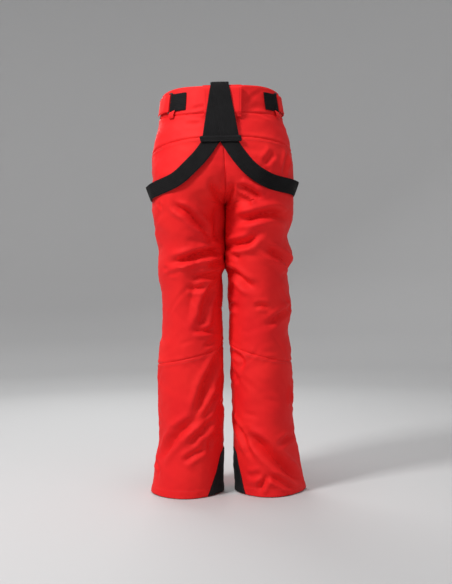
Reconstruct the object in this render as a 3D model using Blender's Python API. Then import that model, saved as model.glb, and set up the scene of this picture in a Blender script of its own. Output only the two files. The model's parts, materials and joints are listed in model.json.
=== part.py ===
"""Ski trousers with elastic braces: shell panels, lining, gaiters, zips, snaps, adjusters and braces.

Metres, +Z up. The origin is the middle of the waist opening, level with the waistband's top edge.
The front faces -Y, so the wearer's left leg is at +X. Every level is a height, negative below the waist.
The cloth follows one surface, given by an angle round each leg and a level: the angle is 0 at the
inseam, 90 degrees at the back, 180 at the outseam and 270 at the front.
"""

import math

import bmesh
import bpy
from mathutils import Matrix, Vector

# Cut of the trousers. Each row: level, outseam x, inseam x, back y, front y.
# A negative inseam x is where the leg's ellipse would reach past the centre seam, which cuts it off.
FIGURE = (
    (0.020, 0.147, -0.147, 0.116, -0.110),
    (0.000, 0.150, -0.150, 0.118, -0.112),
    (-0.060, 0.159, -0.159, 0.127, -0.121),
    (-0.140, 0.177, -0.150, 0.147, -0.130),
    (-0.210, 0.184, -0.100, 0.156, -0.133),
    (-0.260, 0.183, -0.040, 0.150, -0.131),
    (-0.295, 0.182, 0.000, 0.140, -0.127),
    (-0.400, 0.173, 0.004, 0.116, -0.116),
    (-0.500, 0.169, 0.008, 0.098, -0.106),
    (-0.600, 0.167, 0.009, 0.088, -0.098),
    (-0.700, 0.171, 0.010, 0.088, -0.092),
    (-0.850, 0.175, 0.012, 0.093, -0.090),
    (-0.950, 0.183, 0.014, 0.098, -0.093),
    (-1.035, 0.199, 0.016, 0.104, -0.098),
)
HEM = -1.035
BAND_BACK, BAND_FRONT = -0.074, -0.062
YOKE_BACK, YOKE_SIDE = -0.136, -0.160
FLY_END = -0.222
KNEE, KNEE_HALF = -0.600, 0.074

# Levels of the rows of vertices, close together where the legs part.
THIGH_ROWS = (-0.205, -0.236, -0.256, -0.270, -0.281, -0.290, -0.300, -0.340, -0.400, -0.460, KNEE + KNEE_HALF)
SHIN_ROWS = (KNEE - KNEE_HALF, -0.740, -0.800, -0.860, -0.910, -0.960, -1.010, HEM)
COLUMNS = 10  # round half a leg

# Cloth, measured inwards from the surface.
SHELL = 0.0020
LINING_DEPTH, LINING = 0.0040, 0.0015
QUILT = LINING_DEPTH + LINING
GAP = 0.0004  # between the edges of neighbouring pieces
EDGE = 0.003  # the same gap as an angle, in radians
FLY_HALF = 0.008  # half the opening that the fly zip fills

# Braces
BACK_STRAP_WIDTH, STRAP_WIDTH, STRAP = 0.045, 0.036, 0.0015
CROSSPIECE_LEVEL = -0.140
SWING_AXIS = Vector((0.0, 0.118, 0.0084))

RED, BLACK, GREY = (0.80, 0.035, 0.025), (0.012, 0.012, 0.014), (0.05, 0.05, 0.055)


# ---- The surface that the cloth follows


def profile(level):
    """Outseam x, inseam x, back y and front y at a level, on a smooth curve through FIGURE."""
    level = min(max(level, FIGURE[-1][0]), FIGURE[0][0])
    last = len(FIGURE) - 1
    k = next(i for i in range(last) if level >= FIGURE[i + 1][0])
    before, here, there, after = (FIGURE[min(max(i, 0), last)] for i in (k - 1, k, k + 1, k + 2))
    span = there[0] - here[0]
    t = (level - here[0]) / span
    values = []
    for c in range(1, 5):
        slope_a = (there[c] - before[c]) / (there[0] - before[0]) * span
        slope_b = (after[c] - here[c]) / (after[0] - here[0]) * span
        values.append(
            here[c] * (2 * t**3 - 3 * t**2 + 1)
            + slope_a * (t**3 - 2 * t**2 + t)
            + there[c] * (3 * t**2 - 2 * t**3)
            + slope_b * (t**3 - t**2)
        )
    return values


def base(angle, level):
    outseam, inseam, back, front = profile(level)
    x = (outseam + inseam) / 2 - (outseam - inseam) / 2 * math.cos(angle)
    y = (back + front) / 2 + (back - front) / 2 * math.sin(angle)
    return Vector((x, y, level))


def tangents(angle, level):
    """Unit vectors of the left half's surface: round the leg towards the front, up, and outwards."""
    step = 1e-3
    around = (base(angle + step, level) - base(angle - step, level)).normalized()
    upwards = base(angle, level + step) - base(angle, level - step)
    out = upwards.cross(around).normalized()
    return around, around.cross(out).normalized(), out


def skin(angle, level, proud=0.0):
    """A point of the left half, proud of the surface by a distance."""
    return base(angle, level) + tangents(angle, level)[2] * proud


def seam_angle(level):
    """Where the left half ends at the back: on the centre seam, and below the crotch on the inseam."""
    outseam, inseam, _, _ = profile(level)
    reach = (outseam + inseam) / (outseam - inseam)
    return math.acos(min(max(reach, 0.0), 1.0))


def angle_at(x, level, front=False):
    outseam, inseam, _, _ = profile(level)
    cosine = ((outseam + inseam) / 2 - x) / ((outseam - inseam) / 2)
    angle = math.acos(min(max(cosine, -1.0), 1.0))
    return 2 * math.pi - angle if front else angle


# ---- Ways to make one solid


def finish(name, mesh, material, matrix=None):
    """The bmesh as a named object, with its faces pointing out."""
    bmesh.ops.recalc_face_normals(mesh, faces=mesh.faces)
    data = bpy.data.meshes.new(name)
    mesh.to_mesh(data)
    mesh.free()
    data.shade_smooth()
    data.set_sharp_from_angle(angle=math.radians(35))
    data.materials.append(material)
    made = bpy.data.objects.new(name, data)
    bpy.context.scene.collection.objects.link(made)
    if matrix is not None:
        made.matrix_world = matrix
    return made


def skinned(mesh, layers, closed):
    """Faces of a solid whose two layers are grids of vertices, with a rim round them."""
    rows, columns = len(layers[0]), len(layers[0][0])
    steps = columns if closed else columns - 1
    for grid in layers:
        for j in range(rows - 1):
            for i in range(steps):
                k = (i + 1) % columns
                mesh.faces.new((grid[j][i], grid[j][k], grid[j + 1][k], grid[j + 1][i]))
    outer, inner = layers
    for j in (0, rows - 1):
        for i in range(steps):
            k = (i + 1) % columns
            mesh.faces.new((outer[j][i], outer[j][k], inner[j][k], inner[j][i]))
    if not closed:
        for i in (0, columns - 1):
            for j in range(rows - 1):
                mesh.faces.new((outer[j][i], outer[j + 1][i], inner[j + 1][i], inner[j][i]))


def sheet(name, material, place, across, down, proud=0.0, thick=SHELL, closed=False, mirror=False):
    """A piece of cloth. place(i, j, proud) is its point i across and j down, each from 0 to 1."""
    mesh = bmesh.new()
    flip = -1.0 if mirror else 1.0

    def vertex(i, j, depth):
        x, y, z = place(i / across, j / down, depth)
        return mesh.verts.new((flip * x, y, z))

    columns = across if closed else across + 1
    layers = [
        [[vertex(i, j, depth) for i in range(columns)] for j in range(down + 1)]
        for depth in (proud, proud - thick)
    ]
    skinned(mesh, layers, closed)
    return finish(name, mesh, material)


def between(top, bottom):
    """The level i across and j down a panel with these top and bottom edges."""
    return lambda i, j: top(i) + (bottom(i) - top(i)) * j


def in_rows(levels, top=None, steps=0):
    """The same for set rows of levels, with equal steps down to the first of them, and the row count."""
    down = steps + len(levels) - 1

    def level(i, j):
        row = round(j * down)
        return levels[row - steps] if row >= steps else top(i) + (levels[0] - top(i)) * row / steps

    return level, down


def half_panel(first, last, level_at):
    """The place function of a panel of the left half. first and last give its edge angles at a level."""

    def place(i, j, proud):
        level = level_at(i, j)
        angle = first(level) + (last(level) - first(level)) * i
        return skin(angle, level, proud) + Vector((GAP, 0, 0))

    return place


def whole_panel(first, last, top, bottom):
    """The same for a panel that crosses the centre back. A turn of 0 is the back, 1 or -1 the front."""

    def place(i, j, proud):
        turn = first + (last - first) * i
        level = top(turn) + (bottom(turn) - top(turn)) * j
        seam = seam_angle(level)
        point = skin(seam + abs(turn) * 2 * (math.pi - seam), level, proud)
        return point if turn >= 0 else Vector((-point.x, point.y, point.z))

    return place


def smooth_path(points, steps):
    """A Catmull-Rom curve through the points, each segment in equal steps."""
    last = len(points) - 1
    found = []
    for k in range(last):
        p0, p1, p2, p3 = (Vector(points[min(max(i, 0), last)]) for i in (k - 1, k, k + 1, k + 2))
        for s in range(steps):
            t = s / steps
            found.append(
                0.5
                * (2 * p1 + (p2 - p0) * t + (2 * p0 - 5 * p1 + 4 * p2 - p3) * t**2 + (3 * p1 - p0 - 3 * p2 + p3) * t**3)
            )
    return [*found, Vector(points[-1])]


def ribbon(name, material, centres, sideways, width, thick, mirror=False):
    """A flat strap along the centres. sideways gives the direction of its width at each of them."""
    flip = -1.0 if mirror else 1.0
    mesh = bmesh.new()
    rings = []
    for k, centre in enumerate(centres):
        ahead = (centres[min(k + 1, len(centres) - 1)] - centres[max(k - 1, 0)]).normalized()
        side = (sideways[k] - ahead * sideways[k].dot(ahead)).normalized()
        out = side.cross(ahead)
        corners = [
            centre + side * u * width / 2 + out * v * thick / 2 for u, v in ((-1, -1), (1, -1), (1, 1), (-1, 1))
        ]
        rings.append([mesh.verts.new((flip * p.x, p.y, p.z)) for p in corners])
    for a, b in zip(rings, rings[1:]):
        for i in range(4):
            mesh.faces.new((a[i], a[(i + 1) % 4], b[(i + 1) % 4], b[i]))
    mesh.faces.new(rings[0])
    mesh.faces.new(rings[-1])
    return finish(name, mesh, material)


def frame_at(origin, along, out):
    """A matrix whose Y runs along a direction, whose Z points out and whose X is along x out."""
    along = along.normalized()
    out = (out - along * out.dot(along)).normalized()
    across = along.cross(out)
    matrix = Matrix((across, along, out)).transposed().to_4x4()
    matrix.translation = origin
    return matrix


def box(mesh, size, centre):
    made = bmesh.ops.create_cube(mesh, size=1.0)["verts"]
    bmesh.ops.scale(mesh, vec=size, verts=made)
    bmesh.ops.translate(mesh, vec=centre, verts=made)


def block(name, material, matrix, size, centre=(0, 0, 0), bevel=0.0):
    mesh = bmesh.new()
    box(mesh, size, centre)
    made = finish(name, mesh, material, matrix)
    if bevel:
        rounding = made.modifiers.new("Bevel", "BEVEL")
        rounding.width = bevel
        rounding.segments = 2
    return made


def join_or_cut(target, other, operation):
    """A Boolean of a helper object, which is left out of the model."""
    other.hide_render = True
    other.display_type = "WIRE"
    step = target.modifiers.new(operation.title(), "BOOLEAN")
    step.operation = operation
    step.object = other


def turned(name, material, matrix, outline, sides=20):
    """A solid of revolution about Z. The outline is (radius, height) from bottom to top."""
    mesh = bmesh.new()
    rings = []
    for radius, height in outline:
        angles = [2 * math.pi * k / sides for k in range(sides)]
        rings.append([mesh.verts.new((radius * math.cos(a), radius * math.sin(a), height)) for a in angles])
    for low, high in zip(rings, rings[1:]):
        for k in range(sides):
            n = (k + 1) % sides
            mesh.faces.new((low[k], low[n], high[n], high[k]))
    mesh.faces.new(rings[0])
    mesh.faces.new(rings[-1])
    return finish(name, mesh, material, matrix)


def hang(pieces, name, place):
    """Parents pieces to an empty on their joint's axis."""
    empty = bpy.data.objects.new(name, None)
    empty.location = place
    bpy.context.scene.collection.objects.link(empty)
    bpy.context.view_layer.update()
    for piece in pieces:
        piece.parent = empty
        piece.matrix_parent_inverse = empty.matrix_world.inverted()


def material(name, colour, roughness, metallic=0.0):
    made = bpy.data.materials.new(name)
    made.use_nodes = True
    shader = made.node_tree.nodes["Principled BSDF"]
    shader.inputs["Base Color"].default_value = (*colour, 1.0)
    shader.inputs["Roughness"].default_value = roughness
    shader.inputs["Metallic"].default_value = metallic
    return made


# ---- Seam lines


def level_of(value):
    return lambda _: value


def band_bottom(turn):
    """The waistband is deepest at the centre back."""
    return BAND_FRONT + (BAND_BACK - BAND_FRONT) * max(0.0, 1 - abs(turn) / 0.5) ** 2


def yoke_bottom(turn):
    return YOKE_BACK + (YOKE_SIDE - YOKE_BACK) * min(1.0, abs(turn) / 0.5) ** 2


def back_edge(level):
    return seam_angle(level) + EDGE


def front_edge(level):
    """The centre front seam, or the side of the fly opening above its end."""
    if level > FLY_END:
        return angle_at(FLY_HALF, level, front=True)
    return 2 * math.pi - seam_angle(level) - EDGE


# ---- The pieces


def make_waist(red, fleece):
    """Waistband, its facing and the yoke, each one piece round the back."""
    opening = 1 - 2 * math.asin(FLY_HALF / 0.155) / (2 * math.pi)
    for name, cloth, depth, thick in (
        ("waistband_shell", red, 0.0, SHELL),
        ("waistband_facing", fleece, -LINING_DEPTH, 0.002),
    ):
        place = whole_panel(-opening, opening, level_of(0.0), band_bottom)
        sheet(name, cloth, place, 48, 2, depth, thick)
    place = whole_panel(-0.5 + EDGE, 0.5 - EDGE, lambda t: band_bottom(t) - GAP, yoke_bottom)
    sheet("back_yoke", red, place, 24, 3)


def make_legs(red, lining, side, mirror):
    """The shell and lining of one leg, down to the knee. The back panel reaches up to the yoke."""
    levels, down = in_rows(THIGH_ROWS, lambda i: yoke_bottom(i / 2) - GAP, 1)
    back = half_panel(back_edge, lambda _: math.pi - EDGE, levels)
    sheet(f"{side}_back_panel", red, back, COLUMNS, down, mirror=mirror)

    levels, down = in_rows(THIGH_ROWS, lambda i: band_bottom(0.5 + i / 2) - GAP, 3)
    front = half_panel(lambda _: math.pi + EDGE, front_edge, levels)
    sheet(f"{side}_front_panel", red, front, COLUMNS, down, mirror=mirror)

    def bag(i, j, proud):
        """The middle columns of the front panel, from under the zip to below the hand."""
        return front(0.1 + 0.5 * i, (1 + round(5 * j)) / down, proud)

    sheet(f"{side}_pocket_bag", lining, bag, COLUMNS // 2, 5, -0.0076, 0.0014, mirror=mirror)

    def inside(i, j, proud):
        level = in_rows(THIGH_ROWS, lambda i: band_bottom(i) - GAP, 3)[0](i, j)
        start, end = (seam_angle(level) + 0.03, math.pi) if i < 0.5 else (math.pi, front_edge(level))
        return skin(start + (end - start) * (2 * i % 1 if i < 1 else 1), level, proud) + Vector((GAP, 0, 0))

    sheet(f"{side}_leg_lining", lining, inside, 2 * COLUMNS, down, -LINING_DEPTH, LINING, mirror=mirror)

    def ring(i, j, proud):
        return skin(2 * math.pi * i, KNEE + (KNEE_HALF - GAP) * (1 - 2 * j), proud)

    sheet(f"{side}_knee_panel", red, ring, 2 * COLUMNS, 4, 0.0, QUILT, closed=True, mirror=mirror)


def make_lower_leg(red, lining, black, side, mirror):
    """What turns with the shin: shell, lining, scuff guard and the gaiter that seals round the boot."""
    levels, down = in_rows(SHIN_ROWS)
    calf = half_panel(lambda _: EDGE, lambda _: math.pi - EDGE, levels)
    shin = half_panel(lambda _: math.pi + EDGE, lambda _: 2 * math.pi - EDGE, levels)
    inside = half_panel(level_of(0.0), level_of(2 * math.pi), in_rows(SHIN_ROWS[:-1])[0])

    guard_top, guard_angles = -0.926, (math.radians(15), math.radians(46))

    def guard_edge(level):
        share = (guard_top - level) / (guard_top - HEM)
        return guard_angles[0] + (guard_angles[1] - guard_angles[0]) * share

    guard = half_panel(lambda lv: -guard_edge(lv), guard_edge, between(level_of(guard_top), level_of(HEM)))

    gaiter_top, gaiter_end, cuff_radius = -0.860, -1.003, 0.060
    outseam, inseam, back, front = profile(gaiter_end)
    cuff_centre = Vector(((outseam + inseam) / 2, (back + front) / 2, 0))

    def gaiter(i, j, proud):
        """From the lining's inside to a round cuff."""
        angle, level = 2 * math.pi * i, gaiter_top + (gaiter_end - gaiter_top) * j
        wide = skin(angle, level, proud - 0.0075)
        reach = cuff_radius + proud
        cuff = cuff_centre + Vector((-reach * math.cos(angle), reach * math.sin(angle), level))
        return wide.lerp(cuff, j * j * (3 - 2 * j))

    def elastic(i, j, proud):
        angle, reach = 2 * math.pi * i, cuff_radius + proud
        level = gaiter_end - GAP - 0.016 * j
        return cuff_centre + Vector((-reach * math.cos(angle), reach * math.sin(angle), level))

    pieces = [
        sheet(f"{side}_calf_panel", red, calf, COLUMNS, down, mirror=mirror),
        sheet(f"{side}_shin_panel", red, shin, COLUMNS, down, mirror=mirror),
        sheet(f"{side}_shin_lining", lining, inside, 2 * COLUMNS, down - 1, -LINING_DEPTH, LINING, True, mirror),
        sheet(f"{side}_scuff_guard", black, guard, 8, 3, 0.0026, 0.0012, mirror=mirror),
        sheet(f"{side}_gaiter", lining, gaiter, 16, 4, 0.0, 0.0012, True, mirror),
        sheet(f"{side}_gaiter_elastic", black, elastic, 16, 1, 0.0004, 0.0020, True, mirror),
    ]
    outseam, inseam, back, front = profile(KNEE)
    flip = -1.0 if mirror else 1.0
    hang(pieces, f"{side}_knee_axis", (flip * (outseam + inseam) / 2, (back + front) / 2, KNEE))


def make_slider(name, metal, matrix):
    """A zip slider: a plate over the teeth with an arch that holds the pull's bar on the matrix's X."""
    plate_low, plate_high, arch = 0.0022, 0.0040, 0.0034
    slider = block(name, metal, matrix, (0.0090, 0.0120, plate_high - plate_low), (0, 0.002, (plate_low + plate_high) / 2), 0.0006)
    mesh = bmesh.new()
    box(mesh, (0.0024, 0.0080, arch + 0.0004), (0, 0, plate_high + arch / 2 - 0.0004))
    arch_block = finish(f"{name}_arch", mesh, metal, matrix)
    join_or_cut(slider, arch_block, "UNION")
    mesh = bmesh.new()
    box(mesh, (0.0060, 0.0050, 0.0022), (0, 0, plate_high + 0.0013))
    window = finish(f"{name}_window", mesh, metal, matrix)
    join_or_cut(slider, window, "DIFFERENCE")
    return slider


PULL_AXIS_HEIGHT = 0.0053


def make_pull(name, metal, matrix, length=0.034):
    """A zip pull: a bar on the axis, two arms beside the arch and a grip. Its origin is on the axis."""
    bar, arm_x = 0.0012, 0.0031
    mesh = bmesh.new()
    box(mesh, (2 * arm_x + bar, bar, bar), (0, 0, 0))
    pull = finish(name, mesh, metal, matrix @ Matrix.Translation((0, 0, PULL_AXIS_HEIGHT)))
    for side in (-1, 1):
        mesh = bmesh.new()
        box(mesh, (bar, 0.0092, bar), (side * arm_x, 0.0040, 0))
        arm = finish(f"{name}_arm_{side}", mesh, metal, pull.matrix_world)
        join_or_cut(pull, arm, "UNION")
    mesh = bmesh.new()
    box(mesh, (0.0094, length, 0.0016), (0, 0.0076 + length / 2, 0))
    bmesh.ops.bevel(mesh, geom=mesh.edges[:], offset=0.0005, segments=2, affect="EDGES")
    grip = finish(f"{name}_grip", mesh, metal, pull.matrix_world)
    join_or_cut(pull, grip, "UNION")
    return pull


def flip_x(vector, mirror):
    return Vector((-vector.x, vector.y, vector.z)) if mirror else vector


def make_fly(red, black, metal):
    """The fly zip between the front panels, closed, with its slider and pull, and the underlap behind."""
    top, bottom = -0.066, FLY_END + 0.003
    start, end = (Vector((0, profile(lv)[3] + 0.0008, lv)) for lv in (top, bottom))
    matrix = frame_at(start, end - start, Vector((0, -1, 0)))
    length = (end - start).length
    tape_width, coil = 0.0072, 0.0016
    for side, flip in (("left", -1), ("right", 1)):
        tape = block(
            f"fly_zip_tape_{side}", black, matrix, (tape_width, length, 0.0009),
            (flip * (0.0002 + tape_width / 2), length / 2, 0),
        )
        mesh = bmesh.new()
        box(mesh, (coil, length - 0.004, 0.0020), (flip * (0.0002 + coil / 2), length / 2, 0.0006))
        teeth = finish(f"fly_coil_{side}", mesh, black, matrix)
        join_or_cut(tape, teeth, "UNION")

    def guard(i, j, proud):
        level = -0.004 - 0.196 * j
        edge = skin(angle_at(0.014, level, front=True), level)
        return Vector((-0.021 + 0.042 * i, edge.y - proud, level))

    sheet("fly_underlap", red, guard, 2, 8, -0.0085, 0.0016)
    slider_frame = matrix @ Matrix.Translation((0, 0.0055, 0))
    make_slider("fly_zip_slider", metal, slider_frame)
    make_pull("fly_zip_pull", metal, slider_frame)


def make_waist_tab(red, metal):
    """The tab over the front opening, with two snaps. It swings on its sewn edge, at positive x."""
    hinge_x, free_x, clear = 0.036, -0.046, 0.0034

    def place(i, j, proud):
        x = hinge_x + (free_x - hinge_x) * i
        level = -0.004 - 0.052 * j
        point = skin(angle_at(abs(x), level, front=True), level, proud)
        return flip_x(point, x < 0)

    tab = sheet("waist_tab", red, place, 10, 2, clear + 0.0016, 0.0016)
    caps = []
    for name, level in (("upper", -0.017), ("lower", -0.043)):
        angle = angle_at(0.027, level, front=True)
        around, _, out = tangents(angle, level)
        out, around = flip_x(out, True), flip_x(around, True)
        seat = frame_at(flip_x(base(angle, level), True), around, out)
        stud = ((0.0052, 0.0004), (0.0052, 0.0012), (0.0021, 0.0016), (0.0021, 0.0029))
        turned(f"snap_stud_{name}", metal, seat, stud)
        raised = seat @ Matrix.Translation((0, 0, clear + 0.0020))
        cap = ((0.0072, 0.0), (0.0074, 0.0008), (0.0064, 0.0018), (0.0030, 0.0023))
        caps.append(turned(f"snap_cap_{name}", metal, raised, cap))
    hinge = skin(angle_at(hinge_x, -0.030, front=True), -0.030, clear)
    hang([tab, *caps], "waist_tab_axis", (hinge_x, hinge.y, -0.030))


# The waist is drawn in unevenly, so the left adjuster sits a little nearer the back than the right one.
ADJUSTER_LEVEL = -0.039
ADJUSTER_ANGLES = {"left": math.radians(142.5), "right": math.radians(156.5)}
RING_HEIGHT = 0.0044  # of the ring's middle plane above the waistband
BAR_OFFSET = 0.0048


def waist_run(points, middle):
    """Centres and width directions of a strap round the waistband, from (along, proud) in metres."""
    radius = (base(middle + 0.01, ADJUSTER_LEVEL) - base(middle - 0.01, ADJUSTER_LEVEL)).length / 0.02
    path = smooth_path([(a, p, 0.0) for a, p in points], 3)
    angles = [middle + p.x / radius for p in path]
    centres = [skin(a, ADJUSTER_LEVEL, p.y) for a, p in zip(angles, path)]
    return centres, [tangents(a, ADJUSTER_LEVEL)[1] for a in angles]


def make_adjuster(red, black, side, mirror):
    """Waist adjuster: black webbing holds a ring, and a red hook tab folds round the ring's front bar."""
    turn = ADJUSTER_ANGLES[side]
    reach, corner = 0.0024, 0.0019  # from a bar's middle to the middle of the strap round it
    low, high = RING_HEIGHT - reach, RING_HEIGHT + reach
    rear, front = -BAR_OFFSET, BAR_OFFSET
    webbing = (
        (-0.046, 0.0020), (-0.030, 0.0020), (-0.015, 0.0022), (-0.0100, 0.0046),
        (rear - corner, RING_HEIGHT + corner), (rear, high), (rear + corner, RING_HEIGHT + corner),
        (rear + reach, RING_HEIGHT), (rear + corner, RING_HEIGHT - corner), (rear, low),
    )
    centres, widths = waist_run(webbing, turn)
    ribbon(f"{side}_adjuster_webbing", black, centres, widths, 0.045, 0.0012, mirror)
    tab = (
        (front, low), (front - corner, RING_HEIGHT - corner), (front - reach, RING_HEIGHT),
        (front - corner, RING_HEIGHT + corner), (front, high), (0.012, high), (0.035, 0.0050), (0.060, 0.0050),
        (0.085, 0.0050),
    )
    centres, widths = waist_run(tab, turn)
    flap = ribbon(f"{side}_adjuster_tab", red, centres, widths, 0.044, 0.0012, mirror)

    around, up, out = tangents(turn, ADJUSTER_LEVEL)
    middle = skin(turn, ADJUSTER_LEVEL, RING_HEIGHT)
    seat = frame_at(flip_x(middle, mirror), flip_x(up, mirror), flip_x(out, mirror))
    ring = block(f"{side}_adjuster_ring", black, seat, (0.0118, 0.0540, 0.0022), (0, 0, 0), 0.0005)
    mesh = bmesh.new()
    box(mesh, (0.0076, 0.0480, 0.0060), (0, 0, 0))
    join_or_cut(ring, finish(f"{side}_ring_window", mesh, black, seat), "DIFFERENCE")
    hinge = middle + around * BAR_OFFSET
    hang([flap], f"{side}_adjuster_axis", flip_x(hinge, mirror))


def make_belt_loop(red):
    """A wide loop, sewn down at both ends and standing off the waistband between them, for a belt."""
    low, stand = -0.086, 0.0076
    points = (
        (-0.004, 0.0013), (-0.007, 0.0015), (-0.010, 0.0060), (-0.015, stand), (-0.040, stand),
        (low + 0.016, stand), (low + 0.010, 0.0060), (low + 0.005, 0.0016), (low, 0.0013),
    )
    path = smooth_path([(level, proud, 0.0) for level, proud in points], 2)
    centres = [skin(math.pi / 2, p.x, p.y) for p in path]
    centres = [Vector((-0.006, c.y, c.z)) for c in centres]
    ribbon("centre_back_loop", red, centres, [Vector((1, 0, 0))] * len(centres), 0.092, 0.0016)


def make_pocket(black, metal, side, mirror):
    """The closed zip of a hand pocket in front of the outseam, with its slider and pull."""
    ends = ((0.143, -0.086), (0.166, -0.222))
    marks = [(angle_at(x, lv, front=True), lv) for x, lv in ends]
    start, end = (skin(a, lv, 0.0036) for a, lv in marks)
    middle_angle, middle_level = (sum(m) / 2 for m in zip(*marks))
    out = tangents(middle_angle, middle_level)[2]
    start, end, out = (flip_x(v, mirror) for v in (start, end, out))
    matrix = frame_at(start, end - start, out)
    length = (end - start).length
    tape = block(f"{side}_pocket_zip", black, matrix, (0.0150, length + 0.008, 0.0010), (0, length / 2, 0))
    mesh = bmesh.new()
    box(mesh, (0.0032, length, 0.0020), (0, length / 2, 0.0006))
    join_or_cut(tape, finish(f"{side}_pocket_coil", mesh, black, matrix), "UNION")
    slider_frame = matrix @ Matrix.Translation((0, 0.0055, 0))
    make_slider(f"{side}_pocket_slider", metal, slider_frame)
    make_pull(f"{side}_pocket_pull", metal, slider_frame, 0.026)


def outside_path(keys, steps):
    """Centres and outward directions along (angle, level, proud) keys."""
    path = smooth_path(keys, steps)
    centres = [skin(p.x, p.y, p.z) for p in path]
    return centres, [tangents(p.x, p.y)[2] for p in path]


def make_back_straps(black):
    """The braces' sewn end inside the waistband, and the two straps that fan out from it down the back."""
    across = Vector((1, 0, 0))
    top = SWING_AXIS.z - 0.0021
    sewn = [(0, 0.1080, -0.034), (0, 0.1080, -0.016), (0, 0.1080, 0.0), (0, 0.1104, top - 0.0016)]
    sewn += [(0, 0.1140, top - 0.0001), (0, 0.1174, top)]
    centres = smooth_path(sewn, 3)
    ribbon("braces_anchor", black, centres, [across] * len(centres), BACK_STRAP_WIDTH, 0.0035)
    straps = []
    for side, flip, outer in (("left", 1, -1), ("right", -1, 1)):
        layer = outer * 0.0010  # the right strap lies over the left one
        points = [
            (0.0, 0.1184, top + layer),
            (0.0, 0.1210, top - 0.0003 + layer),
            (0.0, 0.1250 + layer, top - 0.0030 + layer),
            (0.0, 0.1280 + layer, top - 0.0095),
        ]
        for share in (0.14, 0.35, 0.55, 0.75, 0.9, 1.0):
            level = (CROSSPIECE_LEVEL + 0.003) * share
            stand = 0.0107 + layer - 0.0052 * max(0.0, (share - 0.5) / 0.5)
            back = skin(seam_angle(level), level, stand)
            points.append((flip * BACK_STRAP_WIDTH / 2 * share, back.y, back.z))
        centres = smooth_path(points, 2)
        straps.append(ribbon(f"{side}_back_strap", black, centres, [across] * len(centres), BACK_STRAP_WIDTH, STRAP))
    level = CROSSPIECE_LEVEL
    rest = skin(seam_angle(level), level, 0.0094)
    seat = frame_at(Vector((0, rest.y, level)), Vector((1, 0, 0)), tangents(seam_angle(level), level)[2])
    cross = block("braces_crosspiece", black, seat, (0.016, 0.100, 0.0018), (0, 0, 0), 0.0005)
    return [*straps, cross]


def make_shoulder_strap(black, side, mirror):
    """From the crosspiece round the hip and up to the front, where it folds over the waistband."""
    back = ((0.026, -0.1465, 0.0062), (0.046, -0.176, 0.0050), (0.074, -0.208, 0.0050), (0.108, -0.240, 0.0060))
    front = (
        (0.158, -0.246, 0.0135), (0.130, -0.206, 0.0120), (0.110, -0.158, 0.0090), (0.100, -0.110, 0.0075),
        (0.096, -0.060, 0.0070), (0.095, -0.015, 0.0070),
    )
    keys = [(angle_at(x, lv), lv, p) for x, lv, p in back]
    keys += [(math.radians(152), -0.261, 0.0095), (math.pi, -0.264, 0.0135)]
    keys += [(angle_at(x, lv, front=True), lv, p) for x, lv, p in front]
    centres, outs = outside_path(keys, 3)
    widths = []
    for k, (centre, out) in enumerate(zip(centres, outs)):
        ahead = (centres[min(k + 1, len(centres) - 1)] - centres[max(k - 1, 0)]).normalized()
        widths.append(out.cross(ahead).normalized())
    edge_angle = angle_at(0.095, 0.0, front=True)
    over = [skin(edge_angle, lv, p) for lv, p in ((0.0, 0.0062), (0.0, -0.0010), (0.0, -0.0085))]
    over = [over[0] + Vector((0, 0, 0.002)), over[1] + Vector((0, 0, 0.0080)), over[2] + Vector((0, 0, 0.001))]
    over += [skin(edge_angle, lv, -0.0088) for lv in (-0.015, -0.034)]
    over = smooth_path([centres[-1], *over], 3)[1:]
    centres += over
    widths += [widths[-1]] * len(over)
    strap = ribbon(f"{side}_shoulder_strap", black, centres, widths, STRAP_WIDTH, STRAP, mirror)

    top, bottom = (skin(angle_at(x, lv, front=True), lv, p) for x, lv, p in (front[4], front[3]))
    out = tangents(angle_at(0.098, -0.085, front=True), -0.085)[2]
    seat = frame_at(flip_x(top, mirror), flip_x(bottom - top, mirror), flip_x(out, mirror))
    glide = block(f"{side}_strap_adjuster", black, seat, (0.0450, 0.0260, 0.0060), (0, 0, 0), 0.0008)
    mesh = bmesh.new()
    box(mesh, (0.0385, 0.0400, 0.0034), (0, 0, 0))
    join_or_cut(glide, finish(f"{side}_strap_slot", mesh, black, seat), "DIFFERENCE")
    return strap


def main():
    for old in list(bpy.data.objects):
        bpy.data.objects.remove(old)
    red = material("shell_red", RED, 0.6)
    lining = material("lining_grey", GREY, 0.75)
    black = material("strap_black", BLACK, 0.8)
    metal = material("trim_metal", (0.06, 0.06, 0.065), 0.35, 0.8)

    make_waist(red, lining)
    make_fly(red, black, metal)
    make_waist_tab(red, metal)
    make_belt_loop(red)
    swinging = make_back_straps(black)
    for side, mirror in (("left", False), ("right", True)):
        make_legs(red, lining, side, mirror)
        make_lower_leg(red, lining, black, side, mirror)
        make_adjuster(red, black, side, mirror)
        make_pocket(black, metal, side, mirror)
        swinging.append(make_shoulder_strap(black, side, mirror))
    hang(swinging, "braces_axis", SWING_AXIS)


main()
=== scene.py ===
"""Looks of the ski trousers: cloth with folds, seams and stitching, braces, zips, trims, light and camera.

Metres, in the frame of the CAD model: +Z up, the front faces -Y, the wearer's left leg is at +X.
"""

import json
import math

import bmesh
import bpy
import numpy as np
from mathutils import Matrix, Vector

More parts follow.
